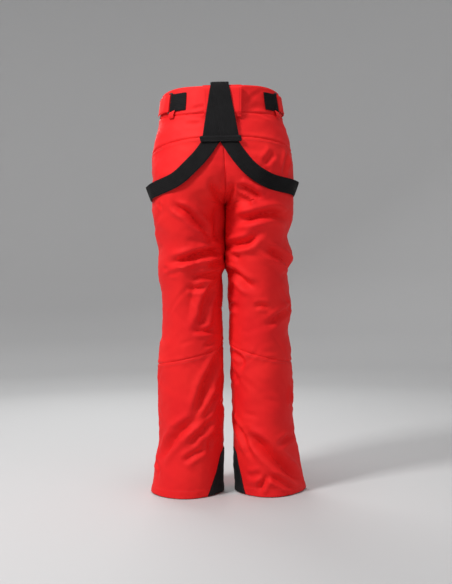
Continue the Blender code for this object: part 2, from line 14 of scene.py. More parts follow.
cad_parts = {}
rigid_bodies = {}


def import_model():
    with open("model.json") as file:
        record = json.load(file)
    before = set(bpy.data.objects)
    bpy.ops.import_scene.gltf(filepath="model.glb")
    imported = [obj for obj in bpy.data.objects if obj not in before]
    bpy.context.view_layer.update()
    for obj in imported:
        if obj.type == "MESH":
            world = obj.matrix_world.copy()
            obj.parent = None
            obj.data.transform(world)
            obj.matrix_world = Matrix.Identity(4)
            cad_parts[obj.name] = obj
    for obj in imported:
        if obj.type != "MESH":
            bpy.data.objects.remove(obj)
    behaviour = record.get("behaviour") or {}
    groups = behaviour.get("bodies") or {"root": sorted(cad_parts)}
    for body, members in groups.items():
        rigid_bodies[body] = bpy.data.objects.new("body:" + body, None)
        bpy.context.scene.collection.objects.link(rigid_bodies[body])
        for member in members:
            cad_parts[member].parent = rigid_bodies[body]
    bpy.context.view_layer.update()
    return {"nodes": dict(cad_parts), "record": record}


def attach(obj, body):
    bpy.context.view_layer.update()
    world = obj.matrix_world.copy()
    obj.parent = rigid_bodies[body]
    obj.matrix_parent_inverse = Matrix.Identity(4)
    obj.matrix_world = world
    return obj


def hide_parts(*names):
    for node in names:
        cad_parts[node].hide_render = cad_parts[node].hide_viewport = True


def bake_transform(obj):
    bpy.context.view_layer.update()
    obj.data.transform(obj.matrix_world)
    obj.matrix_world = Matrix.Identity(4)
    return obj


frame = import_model()

MM = 0.001
TURN = 2 * math.pi
NAMES = {1: "left", -1: "right"}
FLIP = {1: 1, -1: np.array((-1.0, 1.0, 1.0))}

# ---- The cut, as in the CAD model. Rows: level, outseam x, inseam x, back y, front y
FIGURE = (
    (0.020, 0.147, -0.147, 0.116, -0.110), (0.000, 0.150, -0.150, 0.118, -0.112),
    (-0.060, 0.159, -0.159, 0.127, -0.121), (-0.140, 0.177, -0.150, 0.147, -0.130),
    (-0.210, 0.184, -0.100, 0.156, -0.133), (-0.260, 0.183, -0.040, 0.150, -0.131),
    (-0.295, 0.182, 0.000, 0.140, -0.127), (-0.400, 0.173, 0.004, 0.116, -0.116),
    (-0.500, 0.169, 0.008, 0.098, -0.106), (-0.600, 0.167, 0.009, 0.088, -0.098),
    (-0.700, 0.171, 0.010, 0.088, -0.092), (-0.850, 0.175, 0.012, 0.093, -0.090),
    (-0.950, 0.183, 0.014, 0.098, -0.093), (-1.035, 0.199, 0.016, 0.104, -0.098),
)
HEM, BAND_BACK, BAND_FRONT, YOKE_BACK, YOKE_SIDE = -1.035, -0.0745, -0.057, -0.136, -0.160
FLY_END, FLY_HALF, CROTCH = -0.222, 0.008, -0.295
KNEE_OUT, KNEE_RISE = -0.703, 0.057

# Where each leg's side bulges and pinches: level, outseam x
OUTLINE = {
    1: (
        (0.02, 0.1490), (-0.02, 0.1522), (-0.05, 0.1555), (-0.086, 0.1608), (-0.117, 0.1692), (-0.148, 0.1755),
        (-0.18, 0.1785), (-0.21, 0.1790), (-0.25, 0.1800), (-0.274, 0.1820), (-0.29, 0.1807), (-0.305, 0.1810),
        (-0.345, 0.1770), (-0.368, 0.1745), (-0.40, 0.1678), (-0.416, 0.1680), (-0.447, 0.1720), (-0.479, 0.1702),
        (-0.51, 0.1634), (-0.535, 0.1611), (-0.59, 0.1624), (-0.62, 0.1635), (-0.636, 0.1665), (-0.652, 0.1720),
        (-0.70, 0.1755), (-0.76, 0.1776), (-0.81, 0.1782), (-0.85, 0.1763), (-0.90, 0.1779), (-0.92, 0.1809),
        (-0.95, 0.1865), (-0.98, 0.1920), (-1.028, 0.2000), (-1.04, 0.2010),
    ),
    -1: (
        (0.02, 0.1518), (-0.02, 0.1558), (-0.05, 0.1588), (-0.077, 0.1618), (-0.093, 0.1665), (-0.12, 0.1740),
        (-0.14, 0.1786), (-0.17, 0.1828), (-0.203, 0.1860), (-0.266, 0.1850), (-0.313, 0.1838), (-0.329, 0.1825),
        (-0.344, 0.1780), (-0.36, 0.1720), (-0.376, 0.1665), (-0.391, 0.1700), (-0.407, 0.1766), (-0.423, 0.1805),
        (-0.439, 0.1785), (-0.454, 0.1710), (-0.47, 0.1650), (-0.486, 0.1660), (-0.50, 0.1700), (-0.52, 0.1715),
        (-0.555, 0.1735), (-0.596, 0.1700), (-0.611, 0.1655), (-0.627, 0.1650), (-0.643, 0.1660), (-0.659, 0.1690),
        (-0.674, 0.1710), (-0.706, 0.1700), (-0.74, 0.1735), (-0.80, 0.1760), (-0.82, 0.1730), (-0.847, 0.1720),
        (-0.863, 0.1750), (-0.91, 0.1800), (-0.942, 0.1850), (-0.974, 0.1900), (-0.99, 0.1940), (-1.02, 0.2000),
        (-1.04, 0.2020),
    ),
}

# How far the middle of the cloth is drawn towards the wearer's right: level, shift
DRAWN = (
    (0.0, 0.0), (-0.09, 0.0), (-0.16, -0.0075), (-0.24, -0.0090), (-0.33, -0.0075), (-0.45, -0.0045),
    (-0.60, -0.0035), (-0.93, -0.0040), (-1.04, -0.0030),
)

# Folds on the back of each half: depth and width of the valley, ridge above, ridge below (all mm),
# then its x and level in mm, x measured towards the outseam.
FOLDS = {
    1: (
        (5.5, 9, 1.5, 1.5, (24, -244), (14, -266), (-2, -290)),
        (7.5, 30, 0, 0, (8, -296), (10, -345), (6, -398)),
        (6.5, 9, 2.5, 3.5, (114, -284), (115, -298), (106, -308), (81, -322), (58, -345), (35, -368), (26, -386)),
        (2.0, 6, 1.0, 1.0, (157, -290), (150, -308)),
        (8.5, 10, 3.5, 5.0, (134, -442), (97, -436), (69, -428), (40, -420), (15, -414), (2, -411)),
        (2.5, 6, 1.0, 1.5, (150, -455), (97, -461)),
        (2.0, 6, 1.0, 1.0, (137, -469), (106, -469)),
        (3.5, 9, 2.0, 2.0, (42, -452), (20, -444), (3, -438)),
        (4.0, 8, 2.0, 2.5, (82, -480), (44, -477), (8, -473)),
        (3.0, 7, 1.5, 2.0, (88, -504), (67, -510), (44, -503)),
        (5.0, 11, 3.0, 2.5, (12, -490), (34, -525), (46, -554), (49, -579), (62, -605), (72, -620)),
        (3.5, 7, 1.5, 2.0, (80, -611), (47, -617), (22, -608)),
        (2.5, 6, 1.0, 1.5, (52, -656), (20, -641)),
        (7.5, 12, 3.5, 3.0, (4, -655), (21, -700), (41, -742), (52, -770), (61, -800), (79, -840)),
        (4.0, 9, 2.0, 2.0, (8, -760), (29, -793), (46, -826), (54, -858)),
        (4.5, 9, 2.0, 2.0, (24, -836), (52, -864), (80, -888), (87, -910)),
        (6.0, 12, 3.0, 3.0, (66, -835), (106, -861), (126, -880), (149, -912), (167, -946)),
        (3.0, 7, 1.5, 1.5, (14, -877), (36, -893), (42, -925)),
        (3.5, 8, 1.5, 2.0, (50, -911), (86, -929), (112, -949)),
        (2.5, 7, 1.0, 1.0, (183, -955), (173, -967), (174, -992)),
        (3.0, 16, 1.0, 1.0, (58, -395), (78, -520), (92, -590)),
        (1.6, 5, 0.8, 0.8, (86, -77), (40, -85)),
        (2.2, 6, 1.0, 1.2, (92, -100), (40, -100)),
        (1.8, 5, 1.0, 1.0, (68, -62), (32, -56)),
    ),
    -1: (
        (5.5, 9, 1.5, 1.5, (34, -246), (25, -266), (13, -290)),
        (4.0, 15, 0, 2.0, (24, -262), (52, -282), (84, -300)),
        (6.5, 10, 3.0, 3.5, (38, -254), (44, -260), (72, -273), (104, -295)),
        (8.0, 11, 4.0, 3.5, (36, -342), (75, -336), (105, -329), (135, -326), (172, -336)),
        (7.0, 10, 3.5, 4.0, (10, -402), (40, -400), (68, -394), (100, -368)),
        (7.5, 10, 3.0, 4.5, (98, -406), (129, -424), (158, -438), (178, -462)),
        (3.0, 8, 1.5, 1.5, (23, -413), (50, -434)),
        (5.5, 11, 3.0, 3.0, (14, -450), (34, -474), (57, -497), (92, -514)),
        (4.5, 9, 2.5, 2.0, (176, -556), (148, -578), (121, -598), (100, -608)),
        (3.0, 7, 1.5, 1.5, (76, -560), (97, -554), (118, -561)),
        (3.5, 9, 1.5, 2.0, (14, -541), (40, -560)),
        (4.0, 8, 2.0, 2.0, (16, -660), (43, -691), (38, -722)),
        (3.5, 8, 2.5, 2.0, (172, -770), (168, -790), (170, -812)),
        (8.5, 13, 4.0, 3.5, (40, -876), (84, -903), (111, -930), (138, -957), (165, -985), (193, -1015)),
        (4.5, 9, 2.0, 2.0, (20, -838), (39, -884), (57, -920), (70, -942)),
        (4.0, 8, 2.0, 2.0, (182, -890), (154, -897), (130, -912)),
        (4.0, 8, 1.5, 2.0, (78, -1024), (90, -1003), (106, -979)),
        (4.5, 8, 1.5, 2.5, (102, -980), (123, -990), (168, -1022)),
        (3.0, 8, 1.5, 1.5, (50, -990), (94, -977)),
        (3.0, 9, 1.5, 1.5, (20, -715), (40, -752)),
        (2.6, 6, 1.6, 1.2, (112, -14), (88, -30), (72, -45), (58, -60)),
        (2.2, 6, 1.0, 1.0, (128, -33), (81, -66)),
        (1.8, 5, 1.0, 1.0, (96, -73), (130, -84)),
        (3.0, 9, 1.5, 1.5, (135, -172), (108, -208)),
        (3.5, 9, 2.0, 1.5, (156, -232), (172, -165)),
    ),
}


def curve(table, level):
    """Values on a smooth curve through a table's rows, at each of many levels."""
    rows = np.array(sorted(table))
    z, values = rows[:, 0], rows[:, 1:]
    level = np.clip(level, z[0], z[-1])
    low, high = np.r_[0, 0:len(z) - 1], np.r_[1:len(z), len(z) - 1]
    slopes = (values[high] - values[low]) / (z[high] - z[low])[:, None]
    k = np.clip(np.searchsorted(z, level, side="right") - 1, 0, len(z) - 2)
    span = z[k + 1] - z[k]
    t = ((level - z[k]) / span)[..., None]
    span = span[..., None]
    found = values[k] * (2 * t**3 - 3 * t**2 + 1) + slopes[k] * span * (t**3 - 2 * t**2 + t)
    found += values[k + 1] * (3 * t**2 - 2 * t**3) + slopes[k + 1] * span * (t**3 - t**2)
    return np.moveaxis(found, -1, 0)


def smooth(t):
    t = np.clip(t, 0, 1)
    return t * t * (3 - 2 * t)


def unit(v):
    return v / np.maximum(np.linalg.norm(v, axis=-1, keepdims=True), 1e-12)


def surface(angle, level, proud=0.0):
    """Points of the left half's plain surface, and the outward direction there."""
    angle, level = np.broadcast_arrays(np.asarray(angle, float), np.asarray(level, float))

    def at(a, lv):
        out, inn, back, front = curve(FIGURE, lv)
        x = (out + inn) / 2 - (out - inn) / 2 * np.cos(a)
        return np.stack((x, (back + front) / 2 + (back - front) / 2 * np.sin(a), lv), -1)

    step = 1e-3
    around = at(angle + step, level) - at(angle - step, level)
    up = at(angle, level + step) - at(angle, level - step)
    normal = unit(np.cross(up, around))
    return at(angle, level) + normal * np.asarray(proud)[..., None], normal


def seam_angle(level):
    out, inn, _, _ = curve(FIGURE, level)
    return np.arccos(np.clip((out + inn) / (out - inn), 0, 1))


def angle_at(x, level, front=False):
    out, inn, _, _ = curve(FIGURE, level)
    angle = np.arccos(np.clip(((out + inn) / 2 - x) / ((out - inn) / 2), -1, 1))
    return TURN - angle if front else angle


# ---- One grid of points for each half of the cloth, its rows and columns close together at the seams


def steps(length, pitch, start=True, end=True):
    """Shares from 0 to 1 with fine steps beside a seam at either end."""
    fine = np.array([0.0, 0.8, 1.8, 3.2, 5.2, 8.0]) * MM
    a, b = (fine if start else fine[:1]), (length - fine[::-1] if end else np.array([length]))
    n = max(2, round((b[0] - a[-1]) / pitch))
    return np.concatenate((a[:-1], np.linspace(a[-1], b[0], n + 1), b[1:])) / length


PITCH = 3.6 * MM
FOLD_STRENGTH = 2.3
BACK_U, FRONT_U = steps(0.275, PITCH), steps(0.275, PITCH)
U = np.concatenate((BACK_U / 2, 0.5 + FRONT_U[1:] / 2))
MID, LAST = len(BACK_U) - 1, len(U) - 1


def key_levels(u):
    """The seams that run round: waist edge, waistband, yoke, crotch, knee and hem."""
    dip = -0.005 * np.exp(-((u / 0.16) ** 2)) - 0.0075 * np.exp(-(((u - 0.46) / 0.15) ** 2))
    band = np.where(u < 0.5, BAND_BACK + 0.0095 * (2 * u) ** 2, -0.065 + (BAND_FRONT + 0.065) * (2 * u - 1))
    yoke = YOKE_BACK + (YOKE_SIDE - YOKE_BACK) * np.minimum(1, u / 0.5) ** 2
    inward = np.where(u < 0.5, 1 - 2 * u, 2 * u - 1)
    knee = KNEE_OUT + KNEE_RISE * inward**1.6
    flat = np.ones_like(u)
    return [dip, band, yoke, CROTCH * flat, knee, HEM * flat]


def make_rows():
    spans = ((0.074, True, True), (0.075, True, True), (0.146, True, False), (0.39, False, True), (0.35, True, True))
    keys, marks, rows = key_levels(U), [0], [key_levels(U)[0][None]]
    for k, (length, start, end) in enumerate(spans):
        share = steps(length, PITCH, start, end)[1:, None]
        rows.append(keys[k] + (keys[k + 1] - keys[k]) * share)
        marks.append(marks[-1] + len(share))
    return np.concatenate(rows), marks


LEVELS, MARKS = make_rows()
TOP, BAND, YOKE, FORK, KNEE, BOTTOM = MARKS


def half_angles(levels):
    start = seam_angle(levels)
    opening = FLY_HALF * smooth((levels - FLY_END) / 0.010)
    end = np.where(opening > 1e-5, angle_at(opening, levels, front=True), TURN - start)
    u = np.broadcast_to(U, levels.shape)
    return np.where(u <= 0.5, start + (math.pi - start) * 2 * u, math.pi + (end - math.pi) * (2 * u - 1))


def back_point(x, level):
    return surface(angle_at(x, level), level)[0]


def undrawn(side, x, level):
    """Where a place on the finished back is on the cut cloth, before its middle is drawn to one side."""
    pull = float(curve(DRAWN, np.array([level]))[0][0]) * max(0.0, 1 - (x / 0.17) ** 2)
    return max(x + side * (0.0036 - pull), 0.001), level


def front_point(x, level):
    return surface(angle_at(x, level, front=True), level)[0]


def lengths(points):
    """How far along a line each of its points is."""
    return np.r_[0, np.cumsum(np.linalg.norm(np.diff(points, axis=0), axis=1))]


def dense(points, pitch=3 * MM):
    """A smooth curve through points, as close points and how far along it each is from 0 to 1."""
    p = np.asarray(points, float)
    q = np.concatenate((2 * p[:1] - p[1:2], p, 2 * p[-1:] - p[-2:-1]))
    found = []
    for a, b, c, d in zip(q, q[1:], q[2:], q[3:]):
        n = max(2, int(np.linalg.norm(c - b) / pitch))
        t = np.linspace(0, 1, n, endpoint=False)[:, None]
        square, cube = 2 * a - 5 * b + 4 * c - d, 3 * b - a - 3 * c + d
        found.append(0.5 * (2 * b + (c - a) * t + square * t**2 + cube * t**3))
    found = np.concatenate((*found, p[-1:]))
    along = lengths(found)
    return found, along / along[-1]


def add_fold(height, line, depth, width, above, below):
    """Presses a valley along a line into the heights, with a soft ridge on either side."""
    line, along = dense(line)
    reach = 5 * width
    low, high = line.min(0) - reach, line.max(0) + reach
    near = np.nonzero(((BASE > low) & (BASE < high)).all(-1))
    if not len(near[0]):
        return
    spots = BASE[near]
    d2 = ((spots[:, None] - line[None]) ** 2).sum(-1)
    k = d2.argmin(1)
    ahead = unit(line[np.minimum(k + 1, len(line) - 1)] - line[np.maximum(k - 1, 0)])
    side = np.cross(OUT[near], ahead)
    overall = line[-1] - line[0]
    middle = OUT[near].mean(0)
    sense = 1.0 if np.cross(middle, overall)[2] >= 0 else -1.0
    offset = spots - line[k]
    across = (offset * unit(side)).sum(-1) * sense
    d = np.sqrt(d2[np.arange(len(k)), k])
    taper = 0.12 + 0.88 * (smooth(along[k] / 0.28) * smooth((1 - along[k]) / 0.28))
    at_end = (k == 0) | (k == len(line) - 1)
    off_end = np.abs((offset * ahead).sum(-1)) * at_end
    taper = np.where(at_end, 0.12, taper) * np.exp(-((off_end / (0.9 * width)) ** 2))
    valley = -depth * (0.5 / np.cosh(1.5 * d / width) + 0.5 * np.exp(-1.5 * d / width))
    ridge = np.where(across > 0, above, below) * np.exp(-(((d - 1.75 * width) / (0.85 * width)) ** 2))
    height[near] += (valley + ridge) * taper


def waves(points, count, low, high, seed, stretch=(1, 1, 1)):
    """A smooth random height from about -1 to 1, made of many plane waves."""
    draw = np.random.default_rng(seed)
    total = np.zeros(points.shape[:-1])
    for _ in range(count):
        direction = unit(draw.normal(size=3) * np.array(stretch))
        length = draw.uniform(low, high)
        total += np.sin((points @ direction) * TURN / length + draw.uniform(0, TURN))
    return total / math.sqrt(count)


def hardware_calm(base):
    """0 beside the zips, the front tab and the adjusters, where the cloth stays smooth, and 1 elsewhere."""
    runs = (
        (front_point(0.143, -0.086), front_point(0.166, -0.222), 0.018),
        (front_point(0.0, -0.03), front_point(0.0, -0.225), 0.022),
        (front_point(0.036, -0.03), front_point(0.001, -0.03), 0.030),
        (surface(math.radians(130), -0.039)[0], surface(math.radians(180), -0.039)[0], 0.030),
    )
    calm = np.ones(base.shape[:-1])
    for a, b, size in runs:
        t = np.clip(((base - a) @ (b - a)) / ((b - a) @ (b - a)), 0, 1)
        d = np.linalg.norm(base - (a + t[..., None] * (b - a)), axis=-1)
        calm *= 1 - np.exp(-((d / size) ** 2))
    return calm


# The shoulder straps' way: x or degrees round the leg, level, and distance from the plain surface
STRAP_BACK = {
    1: (
        (0.014, -0.134, 0.0038), (0.025, -0.1500, 0.0050), (0.046, -0.181, 0.0055), (0.075, -0.2105, 0.0060),
        (0.110, -0.240, 0.0068),
    ),
    -1: (
        (0.012, -0.134, 0.0038), (0.021, -0.1500, 0.0050), (0.041, -0.183, 0.0055), (0.073, -0.221, 0.0060),
        (0.116, -0.248, 0.0068),
    ),
}
STRAP_SIDE = {
    1: ((150, -0.258, 0.0078), (165, -0.262, 0.0075), (178, -0.2615, 0.0080)),
    -1: ((150, -0.256, 0.0085), (165, -0.257, 0.0095), (180, -0.256, 0.0105)),
}
STRAP_FRONT = (
    (0.160, -0.248, 0.0185), (0.132, -0.207, 0.0155), (0.110, -0.158, 0.0090), (0.100, -0.110, 0.0075),
    (0.096, -0.060, 0.0070), (0.095, -0.015, 0.0070),
)


def strap_keys(side):
    """A shoulder strap's way round the hip: angle, level and distance from the plain surface."""
    keys = [(float(angle_at(x, z)), z, p) for x, z, p in STRAP_BACK[side]]
    keys += [(math.radians(a), z, p) for a, z, p in STRAP_SIDE[side]]
    return keys + [(float(angle_at(x, z, front=True)), z, p) for x, z, p in STRAP_FRONT]


def room_under_straps(side, base):
    """How far the cloth may stand out beneath the shoulder strap and the belt loop."""
    keys = np.array(strap_keys(side))
    line, _ = dense(surface(keys[:, 0], keys[:, 1])[0], 6 * MM)
    share = np.linspace(0, 1, len(line))
    room = np.interp(share, np.linspace(0, 1, len(keys)), keys[:, 2])
    d = np.sqrt(((base[..., None, :] - line) ** 2).sum(-1))
    k = d.argmin(-1)
    d = d.min(-1)
    allowed = room[k] - 3.0 * MM + 0.6 * np.maximum(0, d - 0.020)
    back = (base[..., 1] > 0.06) & (base[..., 0] < 0.07) & (base[..., 2] > -0.155)
    front = (base[..., 1] < -0.06) & (base[..., 0] < 0.056) & (base[..., 2] > -0.062)
    return np.minimum(allowed, np.where(back, 2.4 * MM, np.where(front, 0.8 * MM, 1.0)))


def groove(d, depth=1.5, puff=1.0):
    return (-depth * np.exp(-((d / (1.7 * MM)) ** 2)) + puff * np.exp(-(((d - 6 * MM) / (5 * MM)) ** 2))) * MM


POCKET_ENDS = ((0.143, -0.086), (0.166, -0.222))


def pocket_line():
    """The left pocket zip's two ends and its outward direction."""
    angles = [float(angle_at(x, z, front=True)) for x, z in POCKET_ENDS]
    start, end = (surface(a, z, 0.0036)[0] for a, (_, z) in zip(angles, POCKET_ENDS))
    return start, end, surface(sum(angles) / 2, sum(z for _, z in POCKET_ENDS) / 2)[1]


def sink_for_zip(points):
    """Keeps the cloth just under the pocket zip's tape."""
    start, end, out = pocket_line()
    length = np.linalg.norm(end - start)
    ahead = (end - start) / length
    out = unit(out - ahead * (out @ ahead))
    from_start = points - start
    along, above = from_start @ ahead, from_start @ out
    aside = np.abs(from_start @ np.cross(ahead, out))
    past = np.maximum(0, np.maximum(-along, along - length) - 0.008)
    limit = -0.0017 + 0.45 * np.maximum(0, np.hypot(aside, past) - 0.011)
    over = np.where(above > -0.05, np.maximum(0, above - limit), 0) * (np.hypot(aside, past) < 0.05)
    points -= out * over[..., None]


ANGLES = half_angles(LEVELS)
BASE, _ = surface(ANGLES, LEVELS)
OUT = unit(np.cross(np.gradient(BASE, axis=1), np.gradient(BASE, axis=0)))
OUT *= np.sign(OUT[30, MID, 0])


def span(axis):
    """Distance along the base surface, down its columns or round its rows."""
    step = np.linalg.norm(np.diff(BASE, axis=axis), axis=-1)
    pad = [(0, 0), (0, 0)]
    pad[axis] = (1, 0)
    return np.cumsum(np.pad(step, pad), axis=axis)


DOWN, ROUND = span(0), span(1)


def agree(heights):
    """Brings the two halves to the same height along the centre seam."""
    rows = np.clip((FORK + 6 - np.arange(len(LEVELS))) / 6, 0, 1)[:, None]
    result = {}
    for side, own in heights.items():
        result[side] = own.copy()
        for column in (0, -1):
            gap = (heights[-side] - own)[:, [column]] / 2
            near = np.exp(-((ROUND - ROUND[:, [column]]) / (14 * MM)) ** 2)
            result[side] += gap * rows * near
    return result


RING_DENT = np.array((0.1465, 0.0485, -0.032))


def half_heights(side):
    """How far the folds and seams of one half stand off the base surface."""
    height = np.zeros(LEVELS.shape)

    # The back first, then the front, which borrows the other half's folds
    for depth, width, above, below, *line in FOLDS[side]:
        strength = 1.0 if line[0][1] > -130 else FOLD_STRENGTH
        line = [back_point(x, z) for x, z in (undrawn(side, x * MM, z * MM) for x, z in line)]
        add_fold(height, line, strength * depth * MM, width * MM, strength * above * MM, strength * below * MM)
    for depth, width, above, below, *line in FOLDS[-side]:
        if line[0][1] > -130:
            continue
        line = [front_point(x * MM, z * MM + 0.014) for x, z in line]
        add_fold(height, line, depth * MM, width * MM, above * MM, below * MM)
    # Drag lines from the fork over the front of the thigh, and round the sides
    extra = np.random.default_rng(40 + side)
    for _ in range(90):
        a, z = extra.uniform(0.1, TURN - 0.1), extra.uniform(-1.0, -0.19)
        calmer = 0.45 if 0.35 < a < 3.7 else 1.0
        size, slope = extra.uniform(0.018, 0.050), extra.normal(0, 0.55)
        bend, depth = extra.normal(0, 0.006), extra.uniform(1.0, 3.6) * calmer
        t = np.linspace(-1, 1, 5)
        reach = size / 0.09
        line = [surface(a + reach * s, z + slope * size * s + bend * s * s)[0] for s in t]
        add_fold(height, line, depth * MM, extra.uniform(5, 9) * MM, 0.45 * depth * MM, 0.45 * depth * MM)

    height *= 0.10 + 0.90 * hardware_calm(BASE)
    height = np.minimum(height, room_under_straps(side, BASE))
    height += waves(BASE, 14, 0.045, 0.120, 5 + side, (1, 1, 1.6)) * (0.2 + 0.9 * hardware_calm(BASE)) * MM
    height += waves(BASE, 14, 0.018, 0.034, 9 + side, (1, 1, 1.3)) * 0.28 * MM

    # Seams: where two panels meet the cloth dips and puckers
    back = np.arange(len(U)) <= MID
    pucker = waves(BASE, 12, 0.009, 0.018, 21 + side)

    def seam(distance):
        return groove(distance) + pucker * 0.45 * MM * np.exp(-distance / (7 * MM))

    for row, where in ((BAND, True), (KNEE, True), (YOKE, back)):
        height += np.where(where, seam(np.abs(DOWN - DOWN[row])), 0)
    below_band = np.arange(len(LEVELS))[:, None] >= BAND
    for column in (0, MID, LAST):
        pressed = seam(np.abs(ROUND - ROUND[:, column:column + 1]))
        height += np.where(below_band, pressed * (0.45 if column == 0 else 1.0), 0)
    hem = DOWN[BOTTOM] - DOWN
    height += 0.9 * MM * smooth((0.019 - hem) / 0.002) - 0.5 * MM * np.exp(-(((hem - 0.0205) / 0.0015) ** 2))
    edge = DOWN - DOWN[TOP]
    height -= 1.0 * MM * np.exp(-((edge / (3 * MM)) ** 2))
    if side < 0:
        # The waistband is pressed in under the front bar of the right ring
        away = BASE - RING_DENT
        pressed = np.exp(-(np.hypot(away[..., 0], away[..., 1]) / (11 * MM)) ** 2)
        height -= 1.7 * MM * pressed * np.exp(-(away[..., 2] / (26 * MM)) ** 4)
    return height


HEIGHTS = agree({side: half_heights(side) for side in (1, -1)})


def make_half(side):
    """The outer face of one half: its points, directions and how far they moved, at x > 0 whichever half it is."""
    pressed = BASE + OUT * HEIGHTS[side][..., None]
    points = pressed.copy()
    bulge = curve(OUTLINE[side], LEVELS)[0] - curve(FIGURE, LEVELS)[0]
    outer = np.clip(-np.cos(ANGLES), 0, 1)
    points[..., 0] += bulge * outer**2.2
    # The legs are flatter towards the outseam and, low down, the inseam
    pinch = np.where(
        np.cos(ANGLES) < 0,
        0.35 * smooth((-0.30 - LEVELS) / 0.12) + 0.40 * smooth((-0.62 - LEVELS) / 0.30),
        0.50 * smooth((-0.70 - LEVELS) / 0.28),
    )
    depth_middle = curve(FIGURE, LEVELS)[2:].mean(0)
    flatter = np.maximum(np.abs(np.sin(ANGLES)), 0.04) ** (0.6 * pinch)
    points[..., 1] = depth_middle + (points[..., 1] - depth_middle) * flatter
    # The thighs lie against each other below the fork
    touch = smooth((-0.292 - LEVELS) / 0.010) * smooth((LEVELS + 0.475) / 0.03)
    inner = np.clip(np.cos(ANGLES), 0, 1)
    nearest = np.min(np.where(inner > 0.5, points[..., 0], 1.0), axis=1, keepdims=True)
    points[..., 0] -= (np.maximum(nearest, 0) + 0.0035) * touch * inner**1.5
    centre = np.zeros(LEVELS.shape, bool)
    centre[:FORK + 1, 0] = True
    closed = LEVELS[:, -1] < FLY_END
    centre[:FORK + 1, -1] = closed[:FORK + 1]
    points[..., 0] = np.where(centre, 0.0, np.maximum(points[..., 0], 0.0003))
    drawn = curve(DRAWN, LEVELS)[0] * side * np.clip(1 - (points[..., 0] / 0.17) ** 2, 0, 1)
    points[..., 0] += drawn * smooth((points[..., 1] + 0.09) / 0.11)
    sink_for_zip(points)
    normal = unit(np.cross(np.gradient(points, axis=1), np.gradient(points, axis=0)))
    normal *= np.sign((normal * (points - BASE.mean(1, keepdims=True))).sum(-1).mean())
    normal[:FORK, (0, -1), 0] *= np.array((0.0, 1.0))
    normal = unit(normal)
    return {"p": points, "n": normal, "moved": points - pressed}


HALVES = {side: make_half(side) for side in (1, -1)}


def part_of(side, rows, columns, depth=0.0):
    """Points of a stretch of one half, sunk by a depth, in the real place."""
    half = HALVES[side]
    j, i = slice(rows[0], rows[1] + 1), slice(columns[0], columns[1] + 1)
    p, n = half["p"][j, i], half["n"][j, i]
    sunk = p - n * (depth if np.ndim(depth) == 0 else np.asarray(depth)[j, i][..., None])
    return sunk * FLIP[side]


# ---- Materials


def material(name, colour, roughness, **more):
    made = bpy.data.materials.new(name)
    made.use_nodes = True
    shader = made.node_tree.nodes["Principled BSDF"]
    shader.inputs["Base Color"].default_value = (*colour, 1)
    shader.inputs["Roughness"].default_value = roughness
    for key, value in more.items():
        shader.inputs[key.replace("_", " ")].default_value = value
    return made


def node(tree, kind, **values):
    made = tree.nodes.new(kind)
    for key, value in values.items():
        if key in made.inputs:
            made.inputs[key].default_value = value
        else:
            setattr(made, key, value)
    return made


def add_texture(made, colours, scale, bumps):
    """Mottles the colour by noise and adds bumps: kind, scale, strength and height, on the UVs or the place."""
    tree = made.node_tree
    link = tree.links.new
    shader = tree.nodes["Principled BSDF"]
    place = node(tree, "ShaderNodeTexCoord")
    noise = node(tree, "ShaderNodeTexNoise", Scale=scale, Detail=3.0)
    link(place.outputs["Object"], noise.inputs["Vector"])
    ramp = node(tree, "ShaderNodeValToRGB")
    ramp.color_ramp.elements[0].position, ramp.color_ramp.elements[1].position = 0.3, 0.7
    for element, colour in zip(ramp.color_ramp.elements, colours):
        element.color = (*colour, 1)
    link(noise.outputs["Fac"], ramp.inputs["Fac"])
    link(ramp.outputs["Color"], shader.inputs["Base Color"])
    before = None
    for kind, size, strength, height in bumps:
        if kind == "noise":
            texture = node(tree, "ShaderNodeTexNoise", Scale=size, Detail=4.0)
            link(place.outputs["Object"], texture.inputs["Vector"])
            source = texture.outputs["Fac"]
        else:
            texture = node(tree, "ShaderNodeTexWave", Scale=size, wave_type="BANDS", bands_direction=kind)
            link(place.outputs["UV"], texture.inputs["Vector"])
            source = texture.outputs["Fac"]
        bump = node(tree, "ShaderNodeBump", Strength=strength, Distance=height)
        link(source, bump.inputs["Height"])
        if before:
            link(before.outputs["Normal"], bump.inputs["Normal"])
        before = bump
    if before:
        link(before.outputs["Normal"], shader.inputs["Normal"])
    return made


RED_A, RED_B = (0.81, 0.012, 0.015), (0.89, 0.019, 0.018)
red = add_texture(
    material("shell_red", RED_A, 0.66, Specular_IOR_Level=0.15), (RED_A, RED_B), 9,
    (("noise", 42, 0.35, 0.0025), ("noise", 900, 0.25, 0.0003)),
)
thread = material("thread_red", (0.66, 0.012, 0.014), 0.6)
dark_thread = material("thread_black", (0.020, 0.020, 0.022), 0.7)
black = add_texture(
    material("webbing_black", (0.006, 0.0055, 0.006), 0.85, Specular_IOR_Level=0.18),
    ((0.0045, 0.004, 0.0045), (0.0075, 0.007, 0.0075)), 60,
    (("X", 70, 0.5, 0.0006), ("Y", 160, 0.3, 0.0003)),
)
patch = add_texture(
    material("scuff_black", (0.008, 0.008, 0.009), 0.7, Specular_IOR_Level=0.25),
    ((0.006, 0.006, 0.007), (0.011, 0.011, 0.012)), 80,
    (("X", 60, 0.35, 0.0004), ("Y", 60, 0.35, 0.0004)),
)
grey = add_texture(
    material("lining_grey", (0.05, 0.05, 0.055), 0.7, Sheen_Weight=0.1),
    ((0.045, 0.045, 0.050), (0.060, 0.060, 0.066)), 14,
    (("noise", 60, 0.4, 0.002), ("noise", 900, 0.2, 0.0003)),
)
gaiter_grey = add_texture(
    material("gaiter_grey", (0.06, 0.06, 0.065), 0.5),
    ((0.05, 0.05, 0.055), (0.07, 0.07, 0.076)), 16, (("noise", 80, 0.4, 0.0015),),
)
